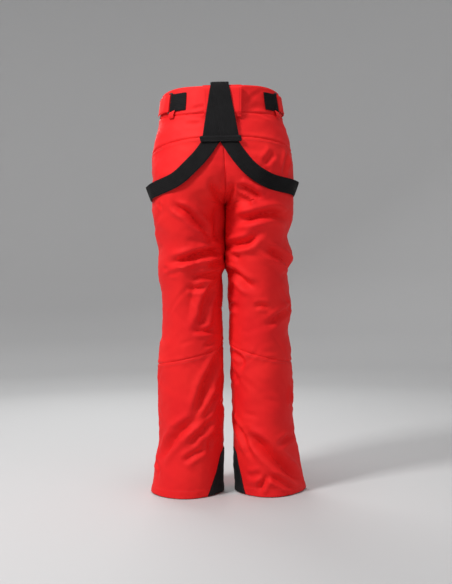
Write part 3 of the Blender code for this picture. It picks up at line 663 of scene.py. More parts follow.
tape = add_texture(
    material("zip_tape_black", (0.015, 0.015, 0.017), 0.8),
    ((0.012, 0.012, 0.014), (0.02, 0.02, 0.022)), 90, (("noise", 700, 0.3, 0.0004),),
)
coil = material("zip_coil_black", (0.018, 0.018, 0.020), 0.35)
metal = add_texture(
    material("trim_metal", (0.06, 0.06, 0.065), 0.32, Metallic=0.9),
    ((0.05, 0.05, 0.055), (0.075, 0.075, 0.08)), 50, (("noise", 300, 0.1, 0.0002),),
)
plastic = add_texture(
    material("trim_plastic", (0.02, 0.02, 0.022), 0.45),
    ((0.017, 0.017, 0.019), (0.024, 0.024, 0.026)), 50, (("noise", 500, 0.12, 0.0002),),
)
SLOTS = {
    "shell_red": "shell_fabric", "thread_red": "shell_fabric", "thread_black": "webbing", "webbing_black": "webbing",
    "scuff_black": "scuff_fabric", "lining_grey": "lining", "gaiter_grey": "gaiter_fabric",
    "zip_tape_black": "zip_tape", "zip_coil_black": "zip_tape",
    "trim_metal": "dark_metal", "trim_plastic": "dark_plastic",
}


# ---- Ways to make one piece

SHARP = math.radians(50)


def between(first, second, count, closed=True):
    """Faces between two rings or rows of points, which start at the given indices."""
    pairs = [(i, (i + 1) % count) for i in range(count if closed else count - 1)]
    return [(first + i, first + k, second + k, second + i) for i, k in pairs]


def mesh_object(name, points, faces, look, uv=None):
    data = bpy.data.meshes.new(name)
    data.from_pydata([tuple(p) for p in np.asarray(points).reshape(-1, 3)], [], faces)
    data.materials.append(look)
    if uv is not None:
        layer = data.uv_layers.new(name="cloth")
        corner = np.zeros(len(data.loops), int)
        data.loops.foreach_get("vertex_index", corner)
        layer.data.foreach_set("uv", np.asarray(uv)[corner].astype(np.float32).ravel())
    made = bpy.data.objects.new(name, data)
    bpy.context.scene.collection.objects.link(made)
    work = bmesh.new()
    work.from_mesh(data)
    bmesh.ops.recalc_face_normals(work, faces=work.faces)
    work.to_mesh(data)
    work.free()
    data.shade_smooth()
    data.set_sharp_from_angle(angle=SHARP)
    return made


def solid_grid(name, outer, inner, look, closed=False, round_top=0.0, round_end=0.0, slot=None):
    """A closed piece between two grids of points, rows by columns. Its top or end rim may be rounded."""
    rows, columns = outer.shape[:2]
    loop = [outer[j] for j in range(rows)]
    if round_end:
        fall = unit(outer[-1] - outer[-2])
        loop.append((outer[-1] + inner[-1]) / 2 + fall * round_end)
    loop += [inner[j] for j in range(rows - 1, -1, -1)]
    if round_top:
        rise = unit(outer[0] - outer[1])
        loop.append((outer[0] + inner[0]) / 2 + rise * round_top)
    loop = np.array(loop)
    n = len(loop)
    extra_end = 1 if round_end else 0
    faces = []
    for j in range(n):
        faces += between(j * columns, (j + 1) % n * columns, columns, closed)
    if not closed:
        for i in (0, columns - 1):
            for j in range(rows - 1):
                a, b = j, 2 * rows + extra_end - 1 - j
                faces.append((a * columns + i, (a + 1) * columns + i, (b - 1) * columns + i, b * columns + i))
            if round_end:
                faces.append(((rows - 1) * columns + i, rows * columns + i, (rows + 1) * columns + i))
            if round_top:
                faces.append((i, (n - 1) * columns + i, (n - 2) * columns + i))
    along, fall = lengths(outer[rows // 2]), lengths(outer[:, columns // 2])
    v = np.concatenate((fall, fall[-1:] if round_end else [], fall[::-1], fall[:1] if round_top else []))
    uv = np.stack(np.broadcast_arrays(along[None, :], v[:, None]), -1).reshape(-1, 2)
    return mesh_object(name, loop, faces, look, uv)


def ribbon(name, centres, sides, width, thick, look, across=10, crown=0.25, edge=0.0, slot=None):
    """A flat strap with soft edges along its centres. Its UVs are metres across and along."""
    centres, sides = np.asarray(centres), np.asarray(sides)
    ahead = unit(np.gradient(centres, axis=0))
    side = unit(sides - ahead * (sides * ahead).sum(-1, keepdims=True))
    out = np.cross(side, ahead)
    t = np.linspace(-1, 1, across)
    body = 1 - 0.75 * np.abs(t) ** 14 + edge * np.exp(-(((np.abs(t) - 0.9) / 0.05) ** 2))
    top = np.stack((t, body * (1 + crown * (1 - t**2)) / (1 + crown)), -1)
    ring = np.concatenate((top, [(1.02, 0.0)], top[::-1] * (1, -1), [(-1.02, 0.0)]))
    if np.ndim(width) == 0:
        width = np.full(len(centres), width)
    points = centres[:, None] + side[:, None] * (ring[None, :, :1] * width[:, None, None] / 2)
    points = points + out[:, None] * ring[None, :, 1:] * thick / 2
    n = len(ring)
    faces = []
    last = (len(centres) - 1) * n
    for first in range(0, last, n):
        faces += between(first, first + n, n)
    for first in (0, last):
        for i in range(across - 1):
            faces.append((first + i, first + i + 1, first + 2 * across - 1 - i, first + 2 * across - i))
        faces.append((first + across - 1, first + across, first + across + 1))
        faces.append((first, first + 2 * across + 1, first + 2 * across))
    along = lengths(centres)
    uv = np.stack(np.broadcast_arrays(ring[None, :, 0] * width.mean() / 2, along[:, None]), -1).reshape(-1, 2)
    return mesh_object(name, points, faces, look, uv)


def resample(points, pitch, *others):
    points = np.asarray(points)
    along = lengths(points)
    n = max(2, round(along[-1] / pitch))
    at = (np.arange(n) + 0.5) / n * along[-1]
    rows = (points, *map(np.asarray, others))
    return [np.stack([np.interp(at, along, a[:, c]) for c in range(3)], -1) for a in rows]


class Stitches:
    """Rows of separate stitches, gathered into one mesh."""

    def __init__(self):
        self.points, self.faces = [], []

    def run(self, points, normals, pitch=3.6 * MM, length=2.7 * MM, radius=0.45 * MM):
        centres, out = resample(points, pitch, normals)
        ahead = unit(np.gradient(centres, axis=0))
        out = unit(out)
        side = np.cross(ahead, out)
        ring = np.array([(1, 0), (0, 1), (-1, 0), (0, -1)])
        for c, a, o, s in zip(centres, ahead, out, side):
            first = len(self.points) * 12
            rows = []
            for t, r, h in ((-0.5, 0.35, -0.1), (0, 1.0, 0.35), (0.5, 0.35, -0.1)):
                middle = c + a * length * t + o * radius * h
                rows.append(middle + (s[None] * ring[:, :1] + o[None] * ring[:, 1:]) * radius * r)
            self.points.append(np.concatenate(rows))
            for j in (first, first + 4):
                self.faces += between(j, j + 4, 4)
            for j in (first, first + 8):
                self.faces.append((j, j + 1, j + 2, j + 3))

    def make(self, name, look=None):
        return mesh_object(name, np.concatenate(self.points), self.faces, look or thread)


def seam_line(side, distance, seam, offset, lanes, turned=False):
    """A line beside a seam of one half, and its outward directions. The lanes are what cross the seam."""
    found = []
    for key in ("p", "n"):
        values = HALVES[side][key].swapaxes(0, 1) if turned else HALVES[side][key]
        line = []
        for lane in range(lanes[0], lanes[1] + 1):
            at = distance[lane, seam] + offset
            line.append([np.interp(at, distance[lane], values[lane, :, c]) for c in range(3)])
        found.append(np.array(line) * FLIP[side])
    return found


def row_line(side, row, offset, columns):
    """A line round one half, below a row."""
    return seam_line(side, DOWN.T, row, offset, columns, turned=True)


def column_line(side, column, offset, rows):
    """A line down one half, beside a column."""
    return seam_line(side, ROUND, column, offset, rows)


def follow_knee(piece):
    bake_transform(piece)


def stand_in(piece, body, *nodes):
    """Hangs a piece on its body, in place of the CAD pieces it shows."""
    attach(piece, body)
    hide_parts(*nodes)


THICK, BAND_THICK = 1.3 * MM, 6 * MM

# ---- Cloth


def both(rows, columns, depth):
    """A stretch that crosses the centre back, from the wearer's left to right."""
    a, b = (part_of(s, rows, columns, depth) for s in (1, -1))
    return np.concatenate((a[:, ::-1], b[:, 1:]), axis=1)


def make_cloth():
    outer, inner = (both((TOP, BAND), (0, LAST), depth) for depth in (0, BAND_THICK))
    waist = solid_grid("waistband", outer, inner, red, round_top=1.6 * MM)
    stand_in(waist, "trousers", "waistband_shell", "waistband_facing")
    yoke = solid_grid("yoke", *(both((BAND, YOKE), (0, MID), depth) for depth in (0, THICK)), red)
    stand_in(yoke, "trousers", "back_yoke")
    for side, name in NAMES.items():
        panels = (
            ("thigh_back", (YOKE, KNEE), (0, MID), (f"{name}_back_panel",)),
            ("thigh_front", (BAND, KNEE), (MID, LAST), (f"{name}_front_panel", f"{name}_knee_panel")),
            ("calf", (KNEE, BOTTOM), (0, MID), (f"{name}_calf_panel",)),
            ("shin_front", (KNEE, BOTTOM), (MID, LAST), (f"{name}_shin_panel",)),
        )
        for label, rows, columns, nodes in panels:
            depth = np.full(LEVELS.shape, THICK)
            depth += 1.6 * MM * smooth((0.018 - (DOWN[BOTTOM] - DOWN)) / 0.006)
            outer, inner = part_of(side, rows, columns), part_of(side, rows, columns, depth)
            end = 0.8 * MM if rows[1] == BOTTOM else 0.0
            piece = solid_grid(f"{name}_{label}", outer, inner, red, round_end=end)
            follow_knee(piece)
            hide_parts(*nodes)
        make_lining(side, name)


def sunk_heights(height):
    """A smooth surface under all the folds."""
    deep = np.pad(height, 3, mode="edge")
    size = height.shape
    deep = np.min([deep[j:j + size[0], i:i + size[1]] for j in range(7) for i in range(7)], axis=0)
    for _ in range(6):
        deep[1:-1, 1:-1] = (deep[:-2, 1:-1] + deep[2:, 1:-1] + deep[1:-1, :-2] + deep[1:-1, 2:]) / 4
    return np.minimum(deep, -0.0035)


def make_lining(side, name):
    """The lining: the shell's shape, smoothed and sunk, its halves meeting in the middle."""
    rows = slice(BAND + 3, BOTTOM - 4)
    deep = agree({s: sunk_heights(HEIGHTS[s]) for s in (1, -1)})[side]
    joined = (np.arange(len(LEVELS)) <= FORK)[rows][::3]
    below_fly = joined & (LEVELS[rows, -1][::3] < FLY_END + 0.030)

    def wrapped(depth):
        grid = (BASE + HALVES[side]["moved"] + OUT * (deep - depth)[..., None])[rows][::3, ::2]
        middle = curve(DRAWN, grid[..., 2])[0] * side * smooth((grid[..., 1] + 0.09) / 0.11)
        grid[..., 0] = np.maximum(grid[..., 0], middle + 0.0004)
        grid[joined, 0, 0] = middle[joined, 0] + 0.0001
        grid[below_fly, -1, 0] = middle[below_fly, -1] + 0.0001
        return grid

    grid, thin = wrapped(0.0028), wrapped(0.0040)
    flip = FLIP[side]
    piece = solid_grid(f"{name}_lining", grid * flip, thin * flip, grey)
    follow_knee(piece)
    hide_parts(f"{name}_leg_lining", f"{name}_shin_lining")


TWIN_ROWS = (3.5 * MM, 8.5 * MM)


def make_stitching():
    waist = Stitches()
    for side in (1, -1):
        waist.run(*row_line(side, TOP, 5 * MM, (0, LAST)))
        waist.run(*row_line(side, BAND, -4 * MM, (0, LAST)))
        for offset in TWIN_ROWS:
            waist.run(*row_line(side, YOKE, offset, (1, MID - 1)))
        fork = int(np.argmin(np.abs(LEVELS[:, 0] + 0.27)))
        waist.run(*column_line(side, 0, 3.5 * MM, (YOKE + 1, fork)))
        waist.run(*column_line(side, LAST, -3.5 * MM, (BAND + 1, fork)))
    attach(waist.make("waist_stitching"), "trousers")
    for side, name in NAMES.items():
        leg = Stitches()
        for offset in TWIN_ROWS:
            leg.run(*column_line(side, MID, -offset, (YOKE + 1, BOTTOM - 1)))
        for offset in TWIN_ROWS:
            leg.run(*row_line(side, KNEE, offset, (1, LAST - 1)))
        leg.run(*column_line(side, 0, 3.5 * MM, (FORK + 3, BOTTOM - 1)))
        leg.run(*row_line(side, BOTTOM, -17.5 * MM, (0, LAST)))
        leg.run(*row_line(side, BOTTOM, -3.0 * MM, (0, LAST)))
        follow_knee(leg.make(f"{name}_leg_stitching"))


# ---- Braces


BRACES_SAG = 0.003
BACK_WEBBING, SHOULDER_WEBBING = 0.0445, 0.0385
WEBBING = {"look": black, "across": 14, "slot": "elastic_webbing"}


def strap_paths():
    """Centres and width directions of the straps, from the same points as the CAD model."""
    top = 0.0063 - BRACES_SAG
    across = np.array((1.0, 0, 0))
    paths = {}
    for side, outer in ((1, -1), (-1, 1)):
        layer = outer * 0.0010
        points = [
            (0, 0.1184, top + layer), (0, 0.1210, top - 0.0003 + layer),
            (0, 0.1250 + layer, top - 0.0030 + layer), (0, 0.1280 + layer, top - 0.0095),
        ]
        for share in (0.14, 0.35, 0.55, 0.75, 0.9, 1.0):
            level = -0.137 * share - BRACES_SAG
            stand = 0.0107 + layer - 0.0052 * max(0.0, (share - 0.5) / 0.5)
            y = surface(seam_angle(np.array(level)), level, stand)[0][1]
            points.append((side * 0.0225 * share, y, level))
        centres, _ = dense(points, 4 * MM)
        paths[side] = (centres, np.tile(across, (len(centres), 1)))
    return paths


def shoulder_path(side):
    keys = np.array(strap_keys(side))
    line, outs = surface(keys[:, 0], keys[:, 1], keys[:, 2])
    edge = float(angle_at(0.095, 0.0, front=True))
    rises = ((0.0062, 0.002), (-0.0010, 0.008), (-0.0085, 0.001))
    over = [surface(edge, 0.0, p)[0] + np.array((0, 0, rise)) for p, rise in rises]
    over += [surface(edge, z, -0.0088)[0] for z in (-0.015, -0.034)]
    centres, _ = dense(np.concatenate((line, over)), 4 * MM)
    turning = len(dense(line, 4 * MM)[0])
    for _ in range(12):
        centres[1:turning - 8] = (centres[:turning - 9] + centres[1:turning - 8] * 2 + centres[2:turning - 7]) / 4
    ahead = unit(np.gradient(centres, axis=0))
    along = np.linspace(0, 1, len(line))
    out = np.stack([np.interp(np.linspace(0, 1, turning), along, outs[:, c]) for c in range(3)], -1)
    out = np.concatenate((out, np.repeat(out[-1:], len(centres) - turning, 0)))
    sides = unit(np.cross(out, ahead))
    sides[turning - 2:] = sides[turning - 3]
    for _ in range(8):
        sides[1:-1] = unit(sides[:-2] + 2 * sides[1:-1] + sides[2:])
    # Beside the hip the strap leans out at its upper edge
    lean = math.radians(20) * np.exp(-(((centres[:, 1] - 0.02) / 0.045) ** 2)) * (centres[:, 2] < -0.2)
    sides = unit(sides - np.tan(lean)[:, None] * out)
    return centres * FLIP[side], sides * FLIP[side]


def make_braces():
    for side, (centres, sides) in strap_paths().items():
        piece = ribbon(f"{NAMES[side]}_brace_back", centres, sides, BACK_WEBBING, 1.45 * MM, edge=0.25, **WEBBING)
        stand_in(piece, "braces", f"{NAMES[side]}_back_strap")
    for side, name in NAMES.items():
        centres, sides = shoulder_path(side)
        piece = ribbon(f"{name}_brace_shoulder", centres, sides, SHOULDER_WEBBING, 1.5 * MM, edge=0.25, **WEBBING)
        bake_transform(piece)
        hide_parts(f"{name}_shoulder_strap")


def cloth_at(side, angles, level, lift):
    """Points on the finished cloth of one half, in the real place."""
    half = HALVES[side]
    p, n, a = [], [], []
    for i in range(len(U)):
        column = LEVELS[:, i]
        pick = [np.interp(-level, -column, half[key][:, i, c]) for key in ("p", "n") for c in range(3)]
        p.append(pick[:3])
        n.append(pick[3:])
        a.append(np.interp(-level, -column, ANGLES[:, i]))
    p, n, a = np.array(p), np.array(n), np.array(a)
    turned = np.mod(angles, TURN)
    point = np.stack([np.interp(turned, a, p[:, c]) for c in range(3)], -1)
    out = unit(np.stack([np.interp(turned, a, n[:, c]) for c in range(3)], -1))
    return (point + out * lift) * FLIP[side]


GUARD_TOP = -0.924
GUARD_BACK = {1: (17, 55), -1: (19, 43)}  # degrees from the inseam at the top and the hem
GUARD_FRONT = (15, 46)


def make_guard(side, name):
    rows = []
    for depth in (1.0 * MM, 0.1 * MM):
        grid = []
        for t in np.linspace(0, 1, 26):
            level = GUARD_TOP + (HEM + 0.0004 - GUARD_TOP) * t
            ease = t**0.8
            first = -math.radians(GUARD_FRONT[0] + (GUARD_FRONT[1] - GUARD_FRONT[0]) * ease)
            last = math.radians(GUARD_BACK[side][0] + (GUARD_BACK[side][1] - GUARD_BACK[side][0]) * ease)
            corner = 1 - 0.35 * math.exp(-((t / 0.06) ** 2))
            grid.append(cloth_at(side, np.linspace(first, last, 26) * corner, level, depth))
        rows.append(np.array(grid))
    piece = solid_grid(f"{name}_guard", *rows, patch)
    stand_in(piece, f"{name}_shin", f"{name}_scuff_guard")
    sewn = Stitches()
    for column in (1, -2):
        sewn.run(rows[0][:, column], (rows[0] - rows[1])[:, column])
    sewn.run(rows[0][1], (rows[0] - rows[1])[1])
    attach(sewn.make(f"{name}_guard_stitching", dark_thread), f"{name}_shin")


def make_gaiter(side, name):
    """The inner gaiter, gathered into a ribbed elastic cuff."""
    top, end, cuff = -0.862, -1.003, 0.060
    out, inn, back, front = curve(FIGURE, np.array(end))
    middle = np.array(((out + inn) / 2, (back + front) / 2, 0))
    angles = np.linspace(0, TURN, 145)[:-1]
    flip = FLIP[side]

    def hoop(reach, level):
        return middle + np.stack((-reach * np.cos(angles), reach * np.sin(angles), np.full_like(angles, level)), -1)

    grids = []
    for proud in (0.0, -1.0 * MM):
        grid = []
        for t in np.linspace(0, 1, 30):
            level = top + (end - top) * t
            wide = surface(angles, level, -0.0215 + proud)[0]
            wide[:, 1] = middle[1] + (wide[:, 1] - middle[1]) * 0.92
            tuck = 2.2 * MM * smooth((t - 0.35) / 0.5) * np.sin(30 * angles + 1.5 * np.sin(3 * angles))
            billow = 3.0 * MM * math.sin(math.pi * t) * (0.6 + 0.4 * np.sin(5 * angles + 4 * t))
            reach = cuff + proud + tuck
            s = smooth(t)
            outwards = np.stack((-np.cos(angles), np.sin(angles), 0 * angles), -1)
            grid.append(wide * (1 - s) + hoop(reach, level) * s - outwards * (billow * (1 - t))[:, None])
        grids.append(np.array(grid) * flip)
    piece = solid_grid(f"{name}_snow_gaiter", *grids, gaiter_grey, closed=True)
    stand_in(piece, f"{name}_shin", f"{name}_gaiter")
    grids = []
    for proud in (0.0004, -0.0018):
        grid = []
        for t in np.linspace(0, 1, 9):
            ribs = 0.7 * MM * np.sin(36 * angles) * (1 if proud > 0 else 0.6)
            reach = cuff + proud + ribs + 0.4 * MM * math.sin(3 * TURN * t)
            grid.append(hoop(reach, end - 0.0006 - 0.0155 * t))
        grids.append(np.array(grid) * flip)
    piece = solid_grid(f"{name}_cuff_elastic", *grids, black, closed=True, slot="elastic_webbing")
    stand_in(piece, f"{name}_shin", f"{name}_gaiter_elastic")


def make_belt_loop():
    low, stand = -0.086, 0.0071
    keys = (
        (-0.004, 0.0022), (-0.007, 0.0024), (-0.011, 0.0062), (-0.017, stand), (-0.040, stand),
        (low + 0.018, stand), (low + 0.010, 0.0062), (low + 0.004, 0.0026), (low, 0.0022),
    )
    line = np.array([surface(math.pi / 2, z, p)[0] for z, p in keys])
    centres, _ = dense(line, 3 * MM)
    centres[:, 0] = -0.006
    n = len(centres)
    width = np.linspace(0.095, 0.089, n)
    sides = np.tile((1.0, 0, 0), (n, 1))
    piece = ribbon("back_loop", centres, sides, width, 2.2 * MM, red, 18, crown=0.1)
    stand_in(piece, "trousers", "centre_back_loop")
    sewn = Stitches()
    ahead = unit(np.gradient(centres, axis=0))
    out = np.cross((1.0, 0, 0), ahead)
    face = centres + out * 1.2 * MM
    for edge in (-1, 1):
        sewn.run(face + np.stack((edge * (width / 2 - 4 * MM), 0 * width, 0 * width), -1), out)
    for k in (2, n - 3):
        bar = face[k] + np.linspace(-0.5, 0.5, 20)[:, None] * np.array((width[k] - 6 * MM, 0, 0))
        sewn.run(bar, np.tile(out[k], (20, 1)))
    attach(sewn.make("back_loop_stitching"), "trousers")


ADJUSTER_LEVEL, RING_HEIGHT, BAR = -0.039, 0.0044, 0.0048
ADJUSTER_ANGLES = {1: math.radians(142.5), -1: math.radians(156.5)}


def waist_run(points, middle):
    """A strap round the waistband from (along, proud): centres, width directions, angles and distances along."""
    ends = surface(np.array((middle - 0.01, middle + 0.01)), ADJUSTER_LEVEL)[0]
    radius = np.linalg.norm(ends[1] - ends[0]) / 0.02
    path, _ = dense([(a, p, 0.0) for a, p in points], 0.7 * MM)
    angles = middle + path[:, 0] / radius
    centres, _ = surface(angles, ADJUSTER_LEVEL, path[:, 1])
    up = surface(angles, ADJUSTER_LEVEL + 1e-3)[0] - surface(angles, ADJUSTER_LEVEL)[0]
    return centres, unit(up), angles, path[:, 0]


def make_adjuster(side, name):
    turn, flip = ADJUSTER_ANGLES[side], FLIP[side]
    reach, corner = 0.0024, 0.0019
    low, high = RING_HEIGHT - reach, RING_HEIGHT + reach
    webbing = (
        (-0.046, 0.0026), (-0.030, 0.0026), (-0.015, 0.0028), (-0.0100, 0.0046),
        (-BAR - corner, RING_HEIGHT + corner), (-BAR, high), (-BAR + corner, RING_HEIGHT + corner),
        (-BAR + reach, RING_HEIGHT),
        (-BAR + corner, RING_HEIGHT - corner), (-BAR, low),
    )
    centres, sides, _, _ = waist_run(webbing, turn)
    piece = ribbon(f"{name}_waist_webbing", centres * flip, sides * flip, 0.045, 1.25 * MM, black, 12)
    stand_in(piece, "trousers", f"{name}_adjuster_webbing")
    tab = (
        (BAR, low), (BAR - corner, RING_HEIGHT - corner), (BAR - reach, RING_HEIGHT),
        (BAR - corner, RING_HEIGHT + corner), (BAR, high),
        (0.012, high), (0.035, 0.0054), (0.060, 0.0050), (0.085, 0.0046),
    )
    centres, sides, angles, along = waist_run(tab, turn)
    level = np.array(ADJUSTER_LEVEL)
    bulge = float(curve(OUTLINE[side], level)[0] - curve(FIGURE, level)[0])
    centres[:, 0] += bulge * np.clip(-np.cos(angles), 0, 1) ** 2.2 * smooth((along - 0.012) / 0.025)
    piece = ribbon(f"{name}_waist_tab", centres * flip, sides * flip, 0.044, 1.5 * MM, red, 12, crown=0.15)
    stand_in(piece, f"{name}_adjuster_tab", f"{name}_adjuster_tab")
    sewn = Stitches()
    outs = unit(np.cross(sides, unit(np.gradient(centres, axis=0))))
    flat = np.nonzero(np.arange(len(centres)) > len(centres) * 0.2)[0]
    hub = surface(turn + 0.3, ADJUSTER_LEVEL)[1]
    sense = 1.0 if (outs[flat[-1]] @ hub) > 0 else -1.0
    for edge in (-1, 1):
        line = (centres + sides * edge * 0.0185 + outs * sense * 0.9 * MM)[flat]
        sewn.run(line * flip, (outs[flat] * sense) * flip)
    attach(sewn.make(f"{name}_waist_tab_stitching"), f"{name}_adjuster_tab")
    # A small loop sewn into the waistband's lower seam, under the ring
    stub = ((-0.060, 0.0022), (-0.064, 0.0044), (-0.069, 0.0052), (-0.075, 0.0048), (-0.079, 0.0022))
    centres, _ = dense(np.array([surface(turn - 0.07, z, p)[0] for z, p in stub]), 2 * MM)
    around = surface(turn - 0.06, -0.066)[0] - surface(turn - 0.08, -0.066)[0]
    sides = np.tile(around, (len(centres), 1))
    piece = ribbon(f"{name}_keeper", centres * flip, sides * flip, 0.017, 1.6 * MM, red, 8)
    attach(piece, "trousers")


def make_teeth(name, matrix, length, width, lanes=(-1, 1)):
    """Rows of interleaved coil teeth, in the frame of a zip."""
    points, faces, pitch = [], [], 1.7 * MM
    count = int(length / pitch)
    for k in range(count):
        for lane in lanes:
            y = (k + (0.5 if lane > 0 else 0.0)) * pitch + 0.002
            x0, x1 = -0.0002 * lane, lane * width
            ring = []
            for x, half in ((x0, 0.45), (x0 + (x1 - x0) * 0.5, 0.42), (x1, 0.30)):
                for dy, z in ((-half, -0.1), (0, 1.0 if x is not x1 else 0.6), (half, -0.1)):
                    ring.append((x, y + dy * pitch * 0.9, 0.0004 + z * 0.0012))
            first = len(points)
            points += ring
            for j in (first, first + 3):
                faces += between(j, j + 3, 3)
            for j in (first, first + 6):
                faces.append((j, j + 1, j + 2))
    placed = [tuple(matrix @ Vector(p)) for p in points]
    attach(mesh_object(name, placed, faces, coil), "trousers")


def zip_matrix(start, end, out):
    along = (Vector(end) - Vector(start)).normalized()
    out = Vector(out)
    out = (out - along * out.dot(along)).normalized()
    matrix = Matrix((along.cross(out), along, out)).transposed().to_4x4()
    matrix.translation = Vector(start)
    return matrix, (Vector(end) - Vector(start)).length


def flat_strip(name, matrix, x0, x1, y0, y1, z, thick, look, rows=40):
    centres = [tuple(matrix @ Vector(((x0 + x1) / 2, y, z))) for y in np.linspace(y0, y1, rows)]
    side = matrix.to_3x3() @ Vector((1, 0, 0))
    return ribbon(name, centres, np.tile(tuple(side), (rows, 1)), abs(x1 - x0), thick, look, 8)


def make_fly():
    top, bottom = -0.066, FLY_END + 0.003
    start, end = ((0, float(curve(FIGURE, np.array(z))[3]) + 0.0008, z) for z in (top, bottom))
    matrix, length = zip_matrix(start, end, (0, -1, 0))
    for label, lane in (("left", -1), ("right", 1)):
        strip = flat_strip(f"fly_tape_{label}", matrix, lane * 0.0002, lane * 0.0076, 0, length, 0, 0.9 * MM, tape)
        stand_in(strip, "trousers", f"fly_zip_tape_{label}")
        make_teeth(f"fly_teeth_{label}", matrix, length - 0.006, 0.0019, (lane,))
    grids = []
    for depth in (-0.0085, -0.0101):
        grid = []
        for z in np.linspace(-0.004, -0.226, 38):
            edge = surface(float(angle_at(0.014, z, front=True)), z)[0]
            x = np.linspace(-0.021, 0.021, 12)
            ripple = 0.5 * MM * np.sin(120 * z + 60 * x)
            grid.append(np.stack((x, edge[1] - depth + ripple, np.full_like(x, z)), -1))
        grids.append(np.array(grid))
    lap = solid_grid("fly_guard", *grids, red)
    stand_in(lap, "trousers", "fly_underlap")


def make_pockets():
    for side, name in NAMES.items():
        flip = FLIP[side]
        start, end, out = (v * flip for v in pocket_line())
        matrix, length = zip_matrix(start, end, out)
        strip = flat_strip(f"{name}_pocket_tape", matrix, -0.0073, 0.0073, -0.003, length + 0.003, 0, 0.9 * MM, tape)
        stand_in(strip, "trousers", f"{name}_pocket_zip")
        make_teeth(f"{name}_pocket_teeth", matrix, length - 0.004, 0.0017)
        first, last = -0.006, length + 0.006
        for label, x0, x1 in (("a", -0.0112, -0.0052), ("b", 0.0052, 0.0112)):
            lip = flat_strip(f"{name}_pocket_lip_{label}", matrix, x0, x1, first, last, -0.0012, 4.6 * MM, red)
            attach(lip, "trousers")
        for label, y in (("top", first), ("foot", last)):
            centres = [tuple(matrix @ Vector((x, y, -0.0014))) for x in np.linspace(-0.0115, 0.0115, 9)]
            way = matrix.to_3x3() @ Vector((0, 1, 0))
            lip = ribbon(f"{name}_pocket_{label}", centres, np.tile(tuple(way), (9, 1)), 0.006, 4.4 * MM, red, 6)
            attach(lip, "trousers")
        half = HALVES[side]
        rows = slice(BAND + 10, FORK - 2, 3)
        columns = slice(MID + 12, MID + 48, 3)
        walls = [(half["p"][rows, columns] - half["n"][rows, columns] * depth * MM) * flip for depth in (12.5, 13.9)]
        bag = solid_grid(f"{name}_pocket_pouch", *walls, grey)
        stand_in(bag, "trousers", f"{name}_pocket_bag")


def make_front_tab():
    def place(proud):
        grid = []
        for t in np.linspace(0, 1, 12):
            z = -0.004 - 0.052 * t
            row = []
            for x in np.linspace(0.0345, -0.046, 26):
                p = surface(float(angle_at(abs(x), z, front=True)), z, proud)[0]
                row.append(p * FLIP[-1 if x < 0 else 1])
            grid.append(row)
        return np.array(grid)

    edge = np.ones((12, 26))
    edge[0] = edge[-1] = 0.6
    edge[:, -1] = 0.6
    outer, inner = place(0.0051), place(0.0034)
    middle = (outer + inner) / 2
    outer = middle + (outer - middle) * edge[..., None]
    piece = solid_grid("front_tab", outer, inner, red)
    stand_in(piece, "waist_tab", "waist_tab")
    sewn = Stitches()
    out = outer - inner
    lifted = outer + unit(out) * 0.1 * MM
    for row in (1, -2):
        sewn.run(lifted[row, :-1], out[row, :-1])
    sewn.run(lifted[1:-1, -2], out[1:-1, -2])
    sewn.run(lifted[1:-1, 1], out[1:-1, 1])
    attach(sewn.make("front_tab_stitching"), "waist_tab")


def make_braces_trims():
    across = np.array((1.0, 0, 0))
    top = 0.0063 - BRACES_SAG
    keys = [
        (0, 0.1080, -0.034), (0, 0.1080, -0.016), (0, 0.1080, -0.003),
        (0, 0.1104, top - 0.0016), (0, 0.1140, top - 0.0001), (0, 0.1174, top),
    ]
    centres, _ = dense(keys, 2 * MM)
    piece = ribbon("braces_root", centres, np.tile(across, (len(centres), 1)), BACK_WEBBING, 3.2 * MM, **WEBBING)
    stand_in(piece, "trousers", "braces_anchor")
    level = -0.140 - BRACES_SAG
    angle = seam_angle(np.array(level))
    rest, out = surface(float(angle), level, 0.0094)
    xs = np.linspace(-0.051, 0.051, 41)
    wave = 0.35 * MM * np.sin(xs * 700) + 0.4 * MM * np.sin(xs * 230)
    centres = np.stack((xs, np.full_like(xs, rest[1]), level + wave), -1)
    up = np.cross(across, out)
    width = np.full(41, 0.0155)
    width[[0, -1]] = 0.011
    piece = ribbon("braces_bar", centres, np.tile(up, (41, 1)), width, 2.0 * MM, black, 10, slot="webbing")
    stand_in(piece, "braces", "braces_crosspiece")
    sewn = Stitches()
    for offset in (-0.0052, 0.0052):
        sewn.run(centres + up * offset + out * 1.05 * MM, np.tile(out, (41, 1)), pitch=3.0 * MM, length=2.3 * MM)
    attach(sewn.make("braces_bar_stitching", dark_thread), "braces")


# ---- Stage


FLOOR = -1.0372


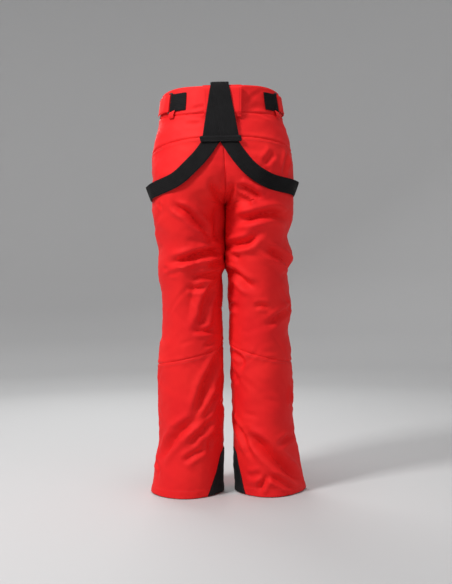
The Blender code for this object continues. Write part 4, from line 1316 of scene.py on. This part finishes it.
def make_stage():
    """A pale floor that rises into a wall, four lamps and the camera."""
    rim = [(0.0, FLOOR), (2.7, FLOOR), (3.2, -0.99), (3.55, -0.80), (3.75, -0.40), (3.8, 0.2), (3.8, 2.4)]
    around, points, faces = 72, [], []
    for r, z in rim:
        points += [(r * math.cos(TURN * k / around), r * math.sin(TURN * k / around), z) for k in range(around)]
    for first in range(0, (len(rim) - 1) * around, around):
        faces += between(first, first + around, around)
    faces = [f if f[0] >= around else (0, f[2], f[3]) for f in faces]
    data = bpy.data.meshes.new("floor")
    data.from_pydata(points, [], faces)
    data.shade_smooth()
    floor = bpy.data.objects.new("floor", data)
    bpy.context.scene.collection.objects.link(floor)
    data.materials.append(material("floor_pale", (0.52, 0.52, 0.52), 0.9))
    bpy.context.scene.view_settings.view_transform = "Standard"
    world = bpy.data.worlds.new("studio")
    bpy.context.scene.world = world
    world.use_nodes = True
    sky = world.node_tree.nodes["Background"].inputs
    sky["Color"].default_value, sky["Strength"].default_value = (0.95, 0.97, 1.0, 1), 0.30
    for name, place, target, size, power in (
        ("key", (1.7, 1.5, 1.75), (0, 0, -0.5), 0.6, 78),
        ("fill", (-1.7, 2.0, 0.3), (0, 0, -0.6), 1.6, 6),
        ("top", (0.1, 0.3, 2.1), (0, 0, -0.5), 0.9, 22),
        ("front", (0.7, -2.2, 1.2), (0, 0, -0.5), 1.6, 42),
    ):
        light = bpy.data.lights.new(name, "AREA")
        light.size, light.energy = size, power
        lamp = bpy.data.objects.new(name, light)
        lamp.location = place
        lamp.rotation_euler = (Vector(target) - Vector(place)).to_track_quat("-Z", "Y").to_euler()
        bpy.context.scene.collection.objects.link(lamp)
    camera = bpy.data.objects.new("camera", bpy.data.cameras.new("camera"))
    camera.data.lens, camera.data.sensor_width, camera.data.sensor_fit = 56.47, 36, "AUTO"
    camera.matrix_world = Matrix.Translation((-0.0050, 2.4, -0.519))
    for turn, axis in ((math.pi, "Z"), (math.pi / 2, "X"), (math.radians(-1.2), "Z")):
        camera.matrix_world = camera.matrix_world @ Matrix.Rotation(turn, 4, axis)
    bpy.context.scene.collection.objects.link(camera)
    bpy.context.scene.camera = camera


make_stage()
make_cloth()
make_stitching()
make_braces()
make_braces_trims()
make_belt_loop()
make_fly()
make_pockets()
make_front_tab()
for side, name in NAMES.items():
    make_guard(side, name)
    make_gaiter(side, name)
    make_adjuster(side, name)

# The CAD pieces that are shown as they are take the look of their slot
sewn_on = ("thread_red", "thread_black", "zip_coil_black")
slot_looks = {slot: look for look, slot in SLOTS.items() if look not in sewn_on}
for made in bpy.data.objects:
    if made.name in frame["nodes"]:
        slot = next((s["material_slot"] for s in frame["record"]["subparts"] if s["node"] == made.name), "")
        made.data.materials.clear()
        made.data.materials.append(bpy.data.materials[slot_looks.get(slot, "webbing_black")])
